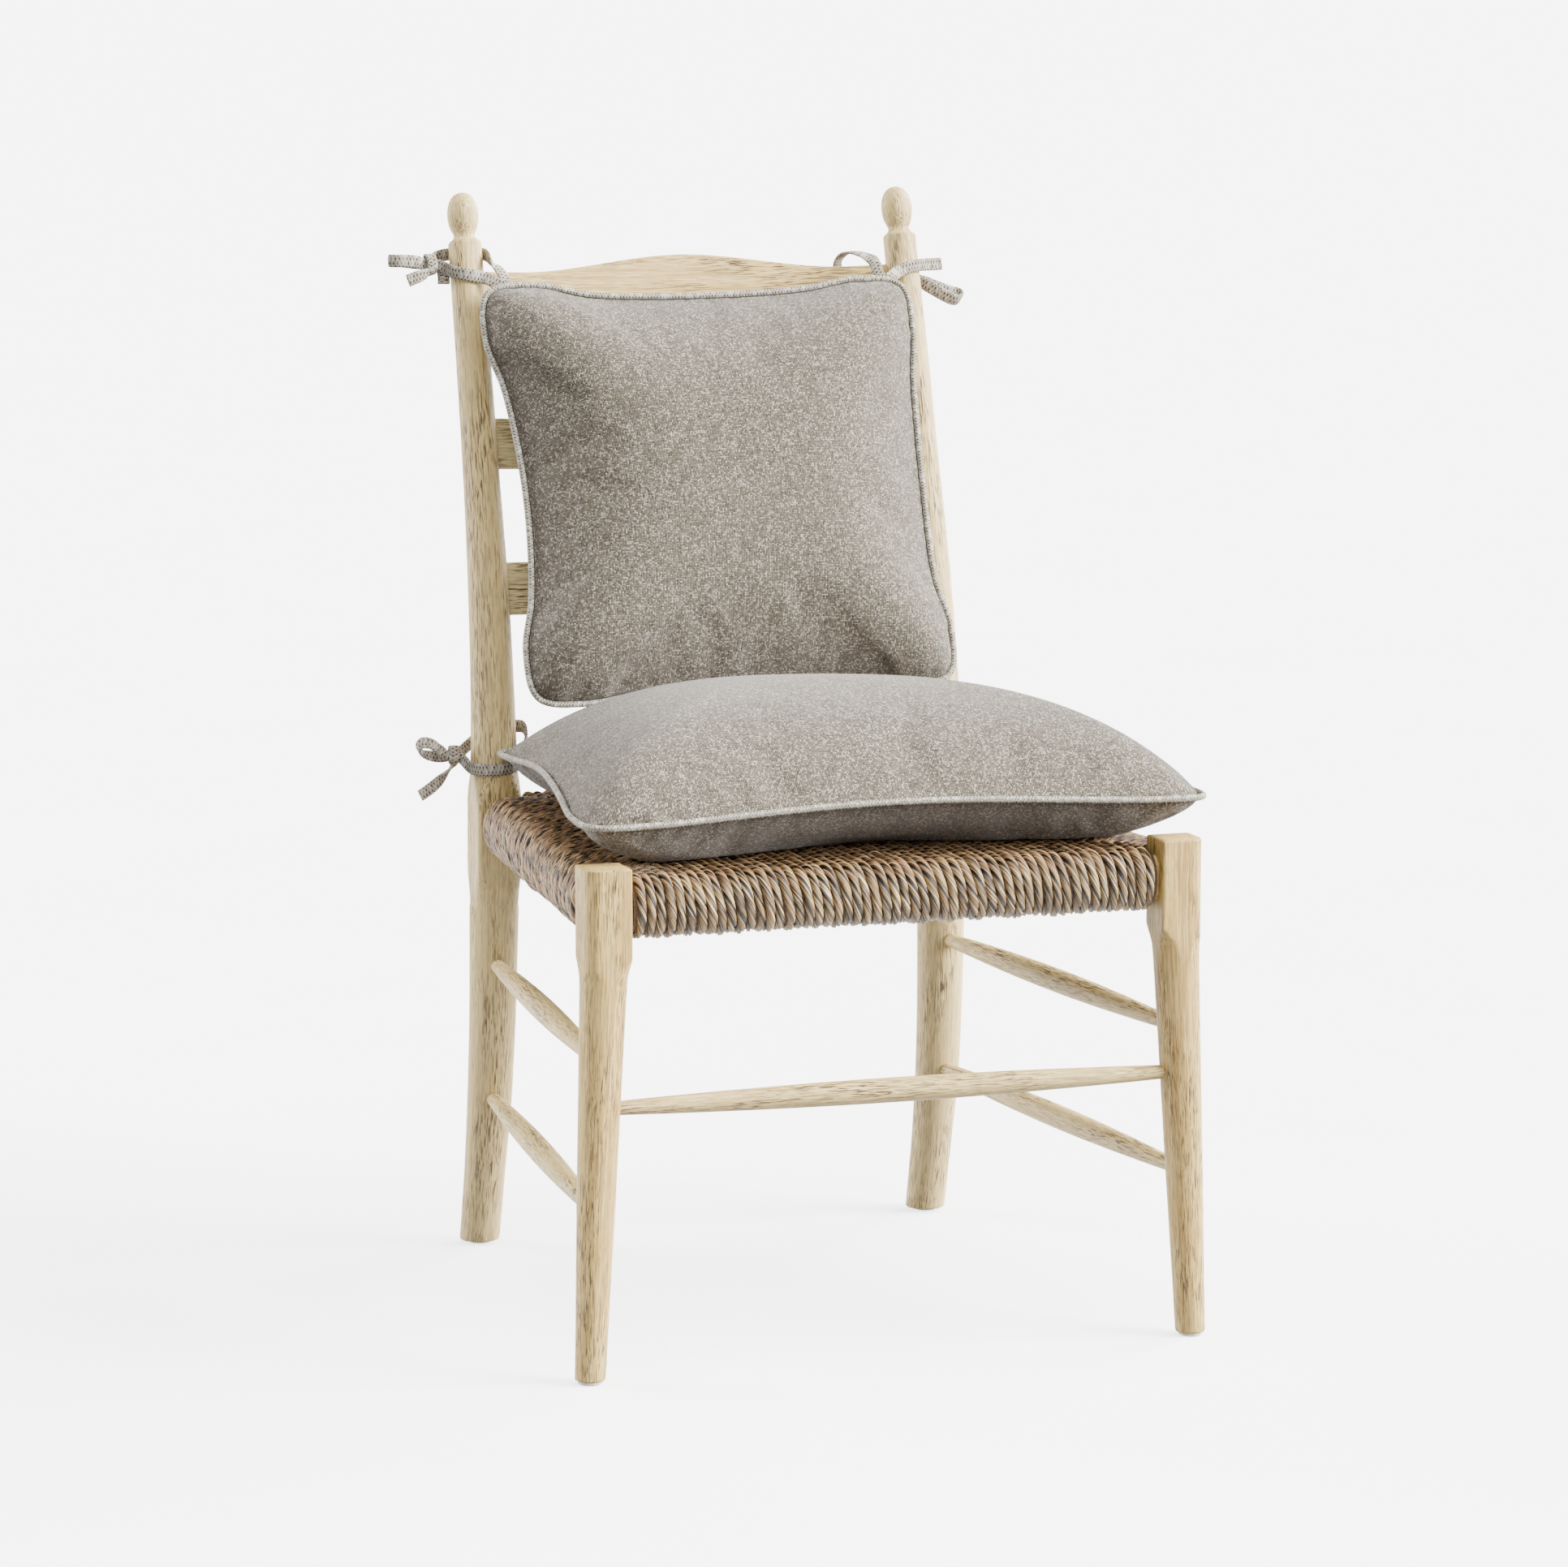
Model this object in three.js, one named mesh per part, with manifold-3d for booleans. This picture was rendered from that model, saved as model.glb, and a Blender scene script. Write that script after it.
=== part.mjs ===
// Ladder-back side chair: turned and squared frame, rush seat, two tie-on cushions.
// Millimetres, +Z up, the sitter faces -Y, the floor is Z = 0.
import * as THREE from "three";
import { mergeVertices } from "three/examples/jsm/utils/BufferGeometryUtils.js";
import Module from "manifold-3d";

const wasm = await Module();
wasm.setup();

// ---------------------------------------------------------------- dimensions
const GAP = 0.3; // running clearance between pieces that touch
const SHIFT_X = -5.05; // with SHIFT_Y, moves the origin to the middle of the footprint
const SHIFT_Y = -32.85;

const GLIDE_R = 11;
const GLIDE_H = 2.5;
const GLIDE_STEM_R = 2.5;
const GLIDE_STEM_L = 14;
const FOOT_Z = GLIDE_H + GAP;

const LEG_TOP = 450.6;
const LEG_BLOCK = { x: 264, y: -272, halfX: 20, halfY: 20.5 };
const LEG_FOOT = { x: 280, y: -278.2 };
const LEG_BLOCK_BOTTOM = 366;
// height, turned radius of the front leg
const LEG_PROFILE = [
  [FOOT_Z, 12.4], [FOOT_Z + 1.4, 13.5], [52, 14.4], [110, 15.8], [157, 16.9],
  [240, 18.4], [316, 19.9], [352, 20.6], [358, 21.4], [363, 24], [LEG_BLOCK_BOTTOM, 27.4],
  [LEG_TOP - 1.2, 27.4], [LEG_TOP, 26],
];

// height, x, y of the back post's bent centre line
const POST_AXIS = [
  [-20, 227.3, 283.5], [0, 227, 278], [75, 226.6, 257.5], [147, 226, 241], [229, 225, 231.5],
  [290, 224.4, 228.3], [347, 223.8, 226.6], [434, 223, 226.6], [501, 222.2, 231],
  [580, 221.4, 241], [656, 220.6, 255.5], [726, 219.9, 273], [816, 219.1, 296.5],
  [900, 218.3, 320.5], [951.5, 217.9, 335.4], [980, 217.6, 343.4], [1010, 217.3, 351.6],
];
const POST_HALF_X = 21.5;
const POST_HALF_Y = 23.5;
const POST_BLOCK = { z0: 345, z1: 462 };
// height, turned radius of the back post, finial included
const POST_PROFILE = [
  [-12, 19], [75, 19.6], [147, 21.2], [229, 22.1], [290, 22.8], [335, 23.4], [350, 25],
  [366, 28.6], [386, 30], [428, 30], [446, 26.4], [462, 23], [478, 21.8], [540, 20.6],
  [656, 18.7], [726, 17.3], [816, 16.6], [890, 16.2], [950, 15.8], [952.2, 15.2],
  [954.6, 12.2], [957.5, 10.2], [960.5, 10.4], [964, 12], [970, 14.1], [976, 14.8],
  [982, 14.6], [988, 13.3], [993, 10.9], [996.6, 7.2], [998.4, 3], [998.8, 0],
];

const SLAT_T = 9;
const SLAT_BOW = 18;
const SLATS = [
  { name: "ladder_slat_upper", z: 766, h: 48.5 },
  { name: "ladder_slat_lower", z: 632, h: 50 },
];
const CREST = { z: 900, h: 53, rise: 17, riseHalf: 165 };
const SLAT_BEVEL = 1.6;
const SLAT_PAST = 2; // each slat end stops this far short of the post's centre line

const STRETCHER_MID_R = 11;
const STRETCHER_END_R = 6.2;
const STRETCHER_TENON = 15;
const STRETCHERS = {
  side_upper: 280,
  side_lower: 150,
  front: 240,
};

const RAIL_Z = 415;
const RAIL = { thick: 18, tall: 40, eased: 7, tenonThick: 9, tenonTall: 28, tenon: 13 };

const RUSH = { z0: 386, z1: 443, front: -291, back: 246, frontHalf: 289, backHalf: 240, round: 20 };

const PIPING_R = 2.9;
const EDGE_HALF = 1; // half the thickness of a cushion's knife edge
const AROUND = 48; // steps round a cushion's outline
const CROWN_SHARES = [0, 0.45, 0.7, 0.87, 0.96, 1];
const CORNER_R = 26;
const CORNER_START = 1.9; // a corner's curve starts this many CORNER_R from the corner
const CORNER_TIP = 0.25; // and its middle lies this many CORNER_R inside it
const PIPING_OFF = 4.1; // from the cushion's edge to the middle of its piping
const PIPING_END = 0.0006; // share of the outline left open where the piping's two ends meet
// corners: front left, front right, back right, back left, before rounding
// draws: how far the front, right, back and left sides draw in at DRAWN_AT shares of their length
// lifts: how far those sides' seams rise
// crown: the two powers of the top's rise; tilt: its change towards the right and the back
const DRAWN_AT = [0.25, 0.5, 0.75];
const SEAT_CUSHION = {
  name: "seat_cushion", centre: [0, -36, 484], lean: 0,
  corners: [[-275.4, -240.2], [296, -232.8], [226, 237], [-226.2, 242.8]],
  draws: [[2, 2.9, 1.1], [-2.2, 11.4, 9.2], [4, 11.1, 2.4], [10.2, 2.6, -2.8]], lifts: [11, 2.9, 0, 22.5],
  up: 88.5, down: 49, flatDown: 40.2, crown: [2.73, 0.87], tilt: [-0.056, -0.292],
};
const BACK_CUSHION = {
  name: "back_cushion", centre: [0, 217, 725], lean: 68.8,
  corners: [[-206.9, -202], [207.9, -195.4], [206.8, 200], [-213.4, 199.9]],
  draws: [[5.3, 10, 9.2], [9.5, 9.9, 6], [9, 13.7, 10.7], [11.5, 19.3, 12.4]], lifts: [0, 0, 0, 0],
  up: 60, down: 44, flatDown: 44, crown: [2.9, 0.62], tilt: [0, 0],
};
const UNDER_CROWN = [2.9, 0.62];
const UNDER_FULL = 1.12; // the underside would pass its flat depth by this factor

const TIE_W = 10;
const TIE_T = 2.6;

// ---------------------------------------------------------------- materials
const material = (color, roughness) => new THREE.MeshStandardMaterial({ color, roughness, metalness: 0 });
const OAK = material("#d9c9a3", 0.6);
const RUSH_CORD = material("#b39a72", 0.85);
const LINEN = material("#a39b90", 0.95);
const PIPING = material("#c9c3b8", 0.9);
const TIE = material("#b5aea4", 0.9);
const GLIDE = material("#d8d6d0", 0.5);

// ---------------------------------------------------------------- helpers
const group = new THREE.Group();

function closed(geometry) {
  geometry.deleteAttribute("normal");
  geometry.deleteAttribute("uv");
  return mergeVertices(geometry, 1e-4);
}

function solid(geometry) {
  const merged = closed(geometry);
  const vertProperties = new Float32Array(merged.attributes.position.array);
  const triVerts = new Uint32Array(merged.index.array);
  const mesh = new wasm.Mesh({ numProp: 3, vertProperties, triVerts });
  mesh.merge();
  return new wasm.Manifold(mesh);
}

function geometryOf(body) {
  const mesh = body.getMesh();
  const geometry = new THREE.BufferGeometry();
  geometry.setAttribute("position", new THREE.BufferAttribute(mesh.vertProperties, 3));
  geometry.setIndex(new THREE.BufferAttribute(mesh.triVerts, 1));
  return geometry;
}

function add(name, body, look) {
  const geometry = body.isBufferGeometry ? closed(body) : geometryOf(body);
  geometry.translate(SHIFT_X, SHIFT_Y, 0);
  geometry.computeVertexNormals();
  const mesh = new THREE.Mesh(geometry, look);
  mesh.name = name;
  group.add(mesh);
}

function box(x0, x1, y0, y1, z0, z1) {
  const geometry = new THREE.BoxGeometry(x1 - x0, y1 - y0, z1 - z0);
  geometry.translate((x0 + x1) / 2, (y0 + y1) / 2, (z0 + z1) / 2);
  return solid(geometry);
}

function interpolate(table, z, column) {
  const last = table.length - 1;
  if (z <= table[0][0]) return table[0][column];
  if (z >= table[last][0]) return table[last][column];
  let i = 0;
  while (table[i + 1][0] < z) i += 1;
  const t = (z - table[i][0]) / (table[i + 1][0] - table[i][0]);
  return table[i][column] * (1 - t) + table[i + 1][column] * t;
}

// A lathe body about Z with the profile given as [height, radius] rows.
function turned(profile, segments) {
  const points = profile.map(([z, r]) => new THREE.Vector2(r, z));
  if (profile[0][1] > 0) points.unshift(new THREE.Vector2(0, profile[0][0]));
  if (profile.at(-1)[1] > 0) points.push(new THREE.Vector2(0, profile.at(-1)[0]));
  const geometry = new THREE.LatheGeometry(points, segments);
  geometry.rotateX(Math.PI / 2);
  return closed(geometry);
}

// Moves every vertex of a body built about Z by a rule of its own.
function reshape(geometry, rule) {
  const position = geometry.attributes.position;
  const v = new THREE.Vector3();
  for (let i = 0; i < position.count; i += 1) {
    v.fromBufferAttribute(position, i);
    rule(v);
    position.setXYZ(i, v.x, v.y, v.z);
  }
  return geometry;
}

// Cuts a round section back to a rectangle, as a square blank leaves it.
function clampToSquare(v, halfX, halfY) {
  const k = Math.min(1, halfX / Math.max(Math.abs(v.x), 1e-6), halfY / Math.max(Math.abs(v.y), 1e-6));
  v.x *= k;
  v.y *= k;
}

function mirrored(geometry, side) {
  if (side > 0) return geometry;
  const copy = closed(geometry.clone());
  copy.scale(-1, 1, 1);
  const index = copy.index.array;
  for (let i = 0; i < index.length; i += 3) {
    const keep = index[i];
    index[i] = index[i + 2];
    index[i + 2] = keep;
  }
  return copy;
}

// A body built along Z from 0 to its length, laid between two points.
function between(geometry, from, to) {
  const direction = new THREE.Vector3().subVectors(to, from).normalize();
  const turn = new THREE.Quaternion().setFromUnitVectors(new THREE.Vector3(0, 0, 1), direction);
  geometry.applyQuaternion(turn);
  geometry.translate(from.x, from.y, from.z);
  return geometry;
}

const SIDES = [[-1, "left"], [1, "right"]];

// ---------------------------------------------------------------- stretchers
function stretcherBody(from, to, grow) {
  const length = from.distanceTo(to);
  const rows = [];
  const steps = 9;
  for (let i = 0; i <= steps; i += 1) {
    const t = i / steps;
    const past = (t * length - STRETCHER_TENON) / (length - 2 * STRETCHER_TENON);
    const inside = THREE.MathUtils.clamp(past, 0, 1);
    const swell = Math.sin(Math.PI * inside) ** 0.9;
    rows.push([t * length, STRETCHER_END_R + (STRETCHER_MID_R - STRETCHER_END_R) * swell + grow]);
  }
  if (grow > 0) {
    rows[0][0] -= grow;
    rows.at(-1)[0] += grow;
  }
  return between(turned(rows, 12), from, to);
}

function legAxisAt(z) {
  const t = THREE.MathUtils.clamp((LEG_BLOCK_BOTTOM - z) / LEG_BLOCK_BOTTOM, 0, 1);
  return new THREE.Vector3(
    LEG_BLOCK.x + (LEG_FOOT.x - LEG_BLOCK.x) * t,
    LEG_BLOCK.y + (LEG_FOOT.y - LEG_BLOCK.y) * t,
    z,
  );
}

const postCurve = new THREE.CatmullRomCurve3(POST_AXIS.map(([z, x, y]) => new THREE.Vector3(x, y, z)));

function postAxisAt(z) {
  let low = 0;
  let high = 1;
  for (let i = 0; i < 30; i += 1) {
    const middle = (low + high) / 2;
    if (postCurve.getPoint(middle).z < z) low = middle;
    else high = middle;
  }
  return { point: postCurve.getPoint(low), tangent: postCurve.getTangent(low) };
}

// Ends of the stretcher on one side: back post to front leg, both ends in their mortises.
function sideStretcherEnds(z, side) {
  const back = postAxisAt(z).point;
  const front = legAxisAt(z);
  const along = new THREE.Vector3().subVectors(front, back).normalize();
  const backR = interpolate(POST_PROFILE, z, 1);
  const frontR = interpolate(LEG_PROFILE, z, 1);
  const from = back.clone().addScaledVector(along, backR - STRETCHER_TENON);
  const to = front.clone().addScaledVector(along, STRETCHER_TENON - frontR);
  from.x *= side;
  to.x *= side;
  return [from, to];
}

function frontStretcherEnds(z) {
  const leg = legAxisAt(z);
  const reach = leg.x - interpolate(LEG_PROFILE, z, 1) + STRETCHER_TENON;
  return [new THREE.Vector3(-reach, leg.y, z), new THREE.Vector3(reach, leg.y, z)];
}

// ---------------------------------------------------------------- seat rails
function railBody(from, to, grow) {
  const length = from.distanceTo(to);
  const bar = (thick, tall, eased, z0, z1) => {
    const x = thick / 2 + grow;
    const y = tall / 2 + grow;
    const shape = new THREE.Shape();
    shape.moveTo(-x, -y + eased);
    for (const [sx, sy] of [[-1, -1], [1, -1], [1, 1], [-1, 1]]) {
      const nearX = [sx * x, sy * (y - eased)];
      const nearY = [sx * (x - eased), sy * y];
      for (const corner of sx === sy ? [nearX, nearY] : [nearY, nearX]) shape.lineTo(...corner);
    }
    shape.closePath();
    const geometry = new THREE.ExtrudeGeometry(shape, { depth: z1 - z0 + 2 * grow, bevelEnabled: false });
    geometry.translate(0, 0, z0 - grow);
    return solid(geometry);
  };
  const body = bar(RAIL.thick, RAIL.tall, RAIL.eased, RAIL.tenon, length - RAIL.tenon);
  const tenons = bar(RAIL.tenonThick, RAIL.tenonTall, 0.5, 0, length);
  const whole = geometryOf(body.add(tenons));
  const along = new THREE.Vector3().subVectors(to, from).normalize();
  const across = new THREE.Vector3().crossVectors(new THREE.Vector3(0, 0, 1), along).normalize();
  const turn = new THREE.Matrix4().makeBasis(across, new THREE.Vector3(0, 0, 1), along.clone());
  if (turn.determinant() < 0) turn.makeBasis(across.negate(), new THREE.Vector3(0, 0, 1), along);
  whole.applyMatrix4(turn);
  whole.translate(from.x, from.y, from.z);
  return solid(whole);
}

function railEnds() {
  const post = postAxisAt(RAIL_Z).point;
  const innerX = LEG_BLOCK.x - LEG_BLOCK.halfX + RAIL.tenon;
  const frontY = LEG_BLOCK.y + LEG_BLOCK.halfY - RAIL.tenon;
  const postFront = post.y - POST_HALF_Y + RAIL.tenon;
  const postInner = post.x - POST_HALF_X + RAIL.tenon;
  const at = (x, y) => new THREE.Vector3(x, y, RAIL_Z);
  return {
    seat_rail_front: [at(-innerX, LEG_BLOCK.y), at(innerX, LEG_BLOCK.y)],
    seat_rail_back: [at(-postInner, post.y), at(postInner, post.y)],
    seat_rail_left: [at(-LEG_BLOCK.x, frontY), at(-post.x, postFront)],
    seat_rail_right: [at(LEG_BLOCK.x, frontY), at(post.x, postFront)],
  };
}

// ---------------------------------------------------------------- slats and crest
// Plan arc of a slat: bowed backwards, extruded up its height.
function slatPlan(halfSpan, thick) {
  const shape = new THREE.Shape();
  const steps = 10;
  const arc = (x, offset) => SLAT_BOW * (1 - (x / halfSpan) ** 2) + offset;
  for (let i = 0; i <= steps; i += 1) {
    const x = -halfSpan + (2 * halfSpan * i) / steps;
    if (i === 0) shape.moveTo(x, arc(x, -thick / 2));
    else shape.lineTo(x, arc(x, -thick / 2));
  }
  for (let i = steps; i >= 0; i -= 1) {
    const x = -halfSpan + (2 * halfSpan * i) / steps;
    shape.lineTo(x, arc(x, thick / 2));
  }
  shape.closePath();
  return shape;
}

function crestOutline(halfSpan, grow) {
  const shape = new THREE.Shape();
  const steps = 18;
  const low = -CREST.h / 2 - grow;
  shape.moveTo(-halfSpan, low);
  shape.lineTo(halfSpan, low);
  for (let i = steps; i >= 0; i -= 1) {
    const x = -halfSpan + (2 * halfSpan * i) / steps;
    const t = THREE.MathUtils.clamp(1 - Math.abs(x) / CREST.riseHalf, 0, 1);
    const rise = CREST.rise * THREE.MathUtils.smoothstep(t, 0, 1);
    shape.lineTo(x, CREST.h / 2 + rise + grow);
  }
  shape.closePath();
  return shape;
}

function leanWithPost(geometry, z) {
  const { point, tangent } = postAxisAt(z);
  geometry.rotateX(-Math.atan2(tangent.y, tangent.z));
  geometry.translate(0, point.y, z);
  return geometry;
}

function slatBody(z, height, grow) {
  const half = postAxisAt(z).point.x - SLAT_PAST + grow;
  const core = 2 * grow - 2 * SLAT_BEVEL;
  const geometry = new THREE.ExtrudeGeometry(slatPlan(half, SLAT_T + core), {
    depth: height + core,
    bevelEnabled: true,
    bevelThickness: SLAT_BEVEL,
    bevelSize: SLAT_BEVEL,
    bevelSegments: 2,
    curveSegments: 2,
  });
  geometry.translate(0, 0, -(height + core) / 2);
  return solid(leanWithPost(geometry, z));
}

function crestBody(grow) {
  const half = postAxisAt(CREST.z).point.x - SLAT_PAST + grow;
  const tall = CREST.h + 2 * CREST.rise + 20;
  const arc = new THREE.ExtrudeGeometry(slatPlan(half, SLAT_T + 2 * grow), {
    depth: tall,
    bevelEnabled: false,
  });
  arc.translate(0, 0, -tall / 2);
  const front = new THREE.ExtrudeGeometry(crestOutline(half, grow), { depth: 80, bevelEnabled: false });
  front.translate(0, 0, -50);
  front.rotateX(Math.PI / 2);
  const flat = solid(arc).intersect(solid(front));
  return solid(leanWithPost(geometryOf(flat), CREST.z));
}

// ---------------------------------------------------------------- legs and posts
function frontLegBlank(side) {
  const geometry = turned(LEG_PROFILE, 16);
  reshape(geometry, (v) => {
    clampToSquare(v, LEG_BLOCK.halfX, LEG_BLOCK.halfY);
    const axis = legAxisAt(v.z);
    v.x += axis.x;
    v.y += axis.y;
  });
  return solid(mirrored(geometry, side));
}

function backPostBlank(side) {
  const geometry = turned(POST_PROFILE, 16);
  reshape(geometry, (v) => {
    const inBlock = v.z > POST_BLOCK.z0 && v.z < POST_BLOCK.z1;
    if (inBlock) clampToSquare(v, POST_HALF_X, POST_HALF_Y);
    const { point, tangent } = postAxisAt(v.z);
    const lean = Math.atan2(tangent.y, tangent.z);
    const y = v.y;
    v.x += point.x;
    v.y = point.y + y * Math.cos(lean);
    v.z = point.z - y * Math.sin(lean);
  });
  const cut = box(150, 300, 200, 400, -60, FOOT_Z);
  const whole = solid(geometry).subtract(cut);
  return side > 0 ? whole : solid(mirrored(geometryOf(whole), -1));
}

function glideBody(x, y, grow) {
  const rows = [
    [0 - grow, GLIDE_R - 0.8], [0.8, GLIDE_R], [GLIDE_H + grow, GLIDE_R],
    [GLIDE_H + grow, GLIDE_STEM_R + grow], [GLIDE_H + GLIDE_STEM_L + grow, GLIDE_STEM_R + grow],
  ];
  const geometry = turned(rows, 12);
  geometry.translate(x, y, 0);
  return solid(geometry);
}

function glideStem(x, y) {
  const rows = [[-5, GLIDE_STEM_R + GAP], [GLIDE_H + GLIDE_STEM_L + GAP, GLIDE_STEM_R + GAP]];
  const geometry = turned(rows, 12);
  geometry.translate(x, y, 0);
  return solid(geometry);
}

function buildFrame() {
  const rails = railEnds();
  const backFoot = postAxisAt(FOOT_Z).point;
  for (const [side, word] of SIDES) {
    let leg = frontLegBlank(side);
    let post = backPostBlank(side);
    for (const [level, z] of [["upper", STRETCHERS.side_upper], ["lower", STRETCHERS.side_lower]]) {
      const [from, to] = sideStretcherEnds(z, side);
      const bore = solid(stretcherBody(from, to, GAP));
      leg = leg.subtract(bore);
      post = post.subtract(bore);
      add(`side_stretcher_${level}_${word}`, solid(stretcherBody(from, to, 0)), OAK);
    }
    leg = leg.subtract(solid(stretcherBody(...frontStretcherEnds(STRETCHERS.front), GAP)));
    leg = leg.subtract(railBody(...rails.seat_rail_front, GAP));
    leg = leg.subtract(railBody(...rails[`seat_rail_${word}`], GAP));
    post = post.subtract(railBody(...rails.seat_rail_back, GAP));
    post = post.subtract(railBody(...rails[`seat_rail_${word}`], GAP));
    for (const slat of SLATS) post = post.subtract(slatBody(slat.z, slat.h, GAP));
    post = post.subtract(crestBody(GAP));
    leg = leg.subtract(glideStem(side * LEG_FOOT.x, LEG_FOOT.y));
    post = post.subtract(glideStem(side * backFoot.x, backFoot.y));
    add(`front_leg_${word}`, leg, OAK);
    add(`back_post_${word}`, post, OAK);
    add(`glide_front_${word}`, glideBody(side * LEG_FOOT.x, LEG_FOOT.y, 0), GLIDE);
    add(`glide_back_${word}`, glideBody(side * backFoot.x, backFoot.y, 0), GLIDE);
  }
  add("front_stretcher", solid(stretcherBody(...frontStretcherEnds(STRETCHERS.front), 0)), OAK);
  for (const [name, ends] of Object.entries(rails)) add(name, railBody(...ends, 0), OAK);
  for (const slat of SLATS) add(slat.name, slatBody(slat.z, slat.h, 0), OAK);
  add("crest_rail", crestBody(0), OAK);
}

// ---------------------------------------------------------------- rush seat
function rushSlab() {
  const inset = RUSH.round * 0.6;
  const shape = new THREE.Shape();
  shape.moveTo(-RUSH.frontHalf + inset, RUSH.front + inset);
  shape.lineTo(RUSH.frontHalf - inset, RUSH.front + inset);
  shape.lineTo(RUSH.backHalf - inset, RUSH.back - inset);
  shape.lineTo(-RUSH.backHalf + inset, RUSH.back - inset);
  shape.closePath();
  const geometry = new THREE.ExtrudeGeometry(shape, {
    depth: RUSH.z1 - RUSH.z0 - 2 * RUSH.round,
    bevelEnabled: true,
    bevelThickness: RUSH.round,
    bevelSize: inset,
    bevelSegments: 5,
  });
  geometry.translate(0, 0, RUSH.z0 + RUSH.round);
  return solid(geometry);
}

// The valley where two fans of cord meet, from a corner to the middle of the seat.
function seamGroove(side, fromY, toX, toY, z) {
  const from = new THREE.Vector3(side * (fromY < 0 ? 250 : 206), fromY, z);
  const to = new THREE.Vector3(side * toX, toY, z);
  const geometry = new THREE.CylinderGeometry(2.2, 2.2, from.distanceTo(to), 4);
  geometry.rotateX(Math.PI / 2);
  geometry.translate(0, 0, from.distanceTo(to) / 2);
  return solid(between(geometry, from, to));
}

function buildRush() {
  const post = postAxisAt(RAIL_Z).point;
  let rush = rushSlab();
  for (const side of [-1, 1]) {
    const legInner = LEG_BLOCK.x - LEG_BLOCK.halfX - GAP;
    const legBack = LEG_BLOCK.y + LEG_BLOCK.halfY + GAP;
    const postInner = post.x - POST_HALF_X - GAP - 1;
    const postFront = post.y - POST_HALF_Y - GAP - 1;
    const span = (a, b) => (side > 0 ? [a, b] : [-b, -a]);
    rush = rush.subtract(box(...span(legInner, 340), -340, legBack, 350, 480));
    rush = rush.subtract(box(...span(postInner, 300), postFront, 300, 350, 480));
    for (const z of [RUSH.z0, RUSH.z1]) {
      rush = rush.subtract(seamGroove(side, -258, 22, -22, z));
      rush = rush.subtract(seamGroove(side, 208, 22, -22, z));
    }
  }
  for (const ends of Object.values(railEnds())) {
    rush = rush.subtract(railBody(...ends, GAP));
  }
  add("rush_seat", rush, RUSH_CORD);
}

// ---------------------------------------------------------------- cushions
// Outline of a knife-edge cushion: rounded corners, each side drawn in a little.
function cushionOutline(c, grow) {
  const start = CORNER_R * CORNER_START;
  const tip = CORNER_R * CORNER_TIP;
  const inward = [[0, 1], [-1, 0], [0, -1], [1, 0]];
  const rows = [];
  c.corners.forEach(([x, y], k) => {
    const sx = Math.sign(x);
    const sy = Math.sign(y);
    const corner = [[x, y - sy * start], [x - sx * tip, y - sy * tip], [x - sx * start, y]];
    rows.push(...(k % 2 === 0 ? corner : corner.reverse()));
    const next = c.corners[(k + 1) % 4];
    DRAWN_AT.forEach((share, i) => {
      const alongX = x + (next[0] - x) * share;
      const alongY = y + (next[1] - y) * share;
      const draw = c.draws[k][i];
      rows.push([alongX + inward[k][0] * draw, alongY + inward[k][1] * draw]);
    });
  });
  const rightMiddle = 10;
  const ordered = [...rows.slice(rightMiddle), ...rows.slice(0, rightMiddle)];
  const k = 1 + grow / c.corners[2][1];
  const points = ordered.map(([x, y]) => new THREE.Vector3(x * k, y * k, 0));
  return new THREE.CatmullRomCurve3(points, true, "centripetal");
}

// Height of the cushion face at a share of the way from the middle to the edge.
function crown(share, [inner, outer]) {
  return Math.max(0, 1 - share ** inner) ** outer;
}

// How far the seam rises beside each side's middle.
function seamLift(c, x, y) {
  const xs = c.corners.map((corner) => corner[0]);
  const ys = c.corners.map((corner) => corner[1]);
  const unit = (value, list) => {
    const low = Math.min(...list);
    const high = Math.max(...list);
    return THREE.MathUtils.clamp((2 * value - low - high) / (high - low), -1, 1);
  };
  const u = unit(x, xs);
  const v = unit(y, ys);
  const alongX = Math.cos((u * Math.PI) / 2) ** 2;
  const alongY = Math.cos((v * Math.PI) / 2) ** 2;
  const near = (value) => Math.max(0, value) ** 4;
  const [front, right, back, left] = c.lifts;
  return (front * near(-v) + back * near(v)) * alongX + (right * near(u) + left * near(-u)) * alongY;
}

function place(c, v) {
  v.applyAxisAngle(new THREE.Vector3(1, 0, 0), THREE.MathUtils.degToRad(c.lean));
  v.x += c.centre[0];
  v.y += c.centre[1];
  v.z += c.centre[2];
}

function pillow(c) {
  const under = (share) => Math.min(c.flatDown, crown(share, UNDER_CROWN) * c.down * UNDER_FULL + EDGE_HALF);
  const rows = CROWN_SHARES.map((share) => [-under(share), share]);
  for (const share of [...CROWN_SHARES].reverse()) {
    rows.push([crown(share, c.crown) * c.up + EDGE_HALF, share]);
  }
  const curve = cushionOutline(c, 0);
  const geometry = turned(rows, AROUND);
  const [reachX, reachY] = c.corners[2];
  reshape(geometry, (v) => {
    const share = Math.hypot(v.x, v.y);
    const u = (Math.atan2(v.y, v.x) / (2 * Math.PI) + 1) % 1;
    const p = curve.getPointAt(u);
    v.x = p.x * share;
    v.y = p.y * share;
    if (v.z > EDGE_HALF) v.z *= 1 + (c.tilt[0] * v.x) / reachX + (c.tilt[1] * v.y) / reachY;
    v.z += seamLift(c, p.x, p.y) * share ** 2;
    place(c, v);
  });
  return geometry;
}

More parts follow.
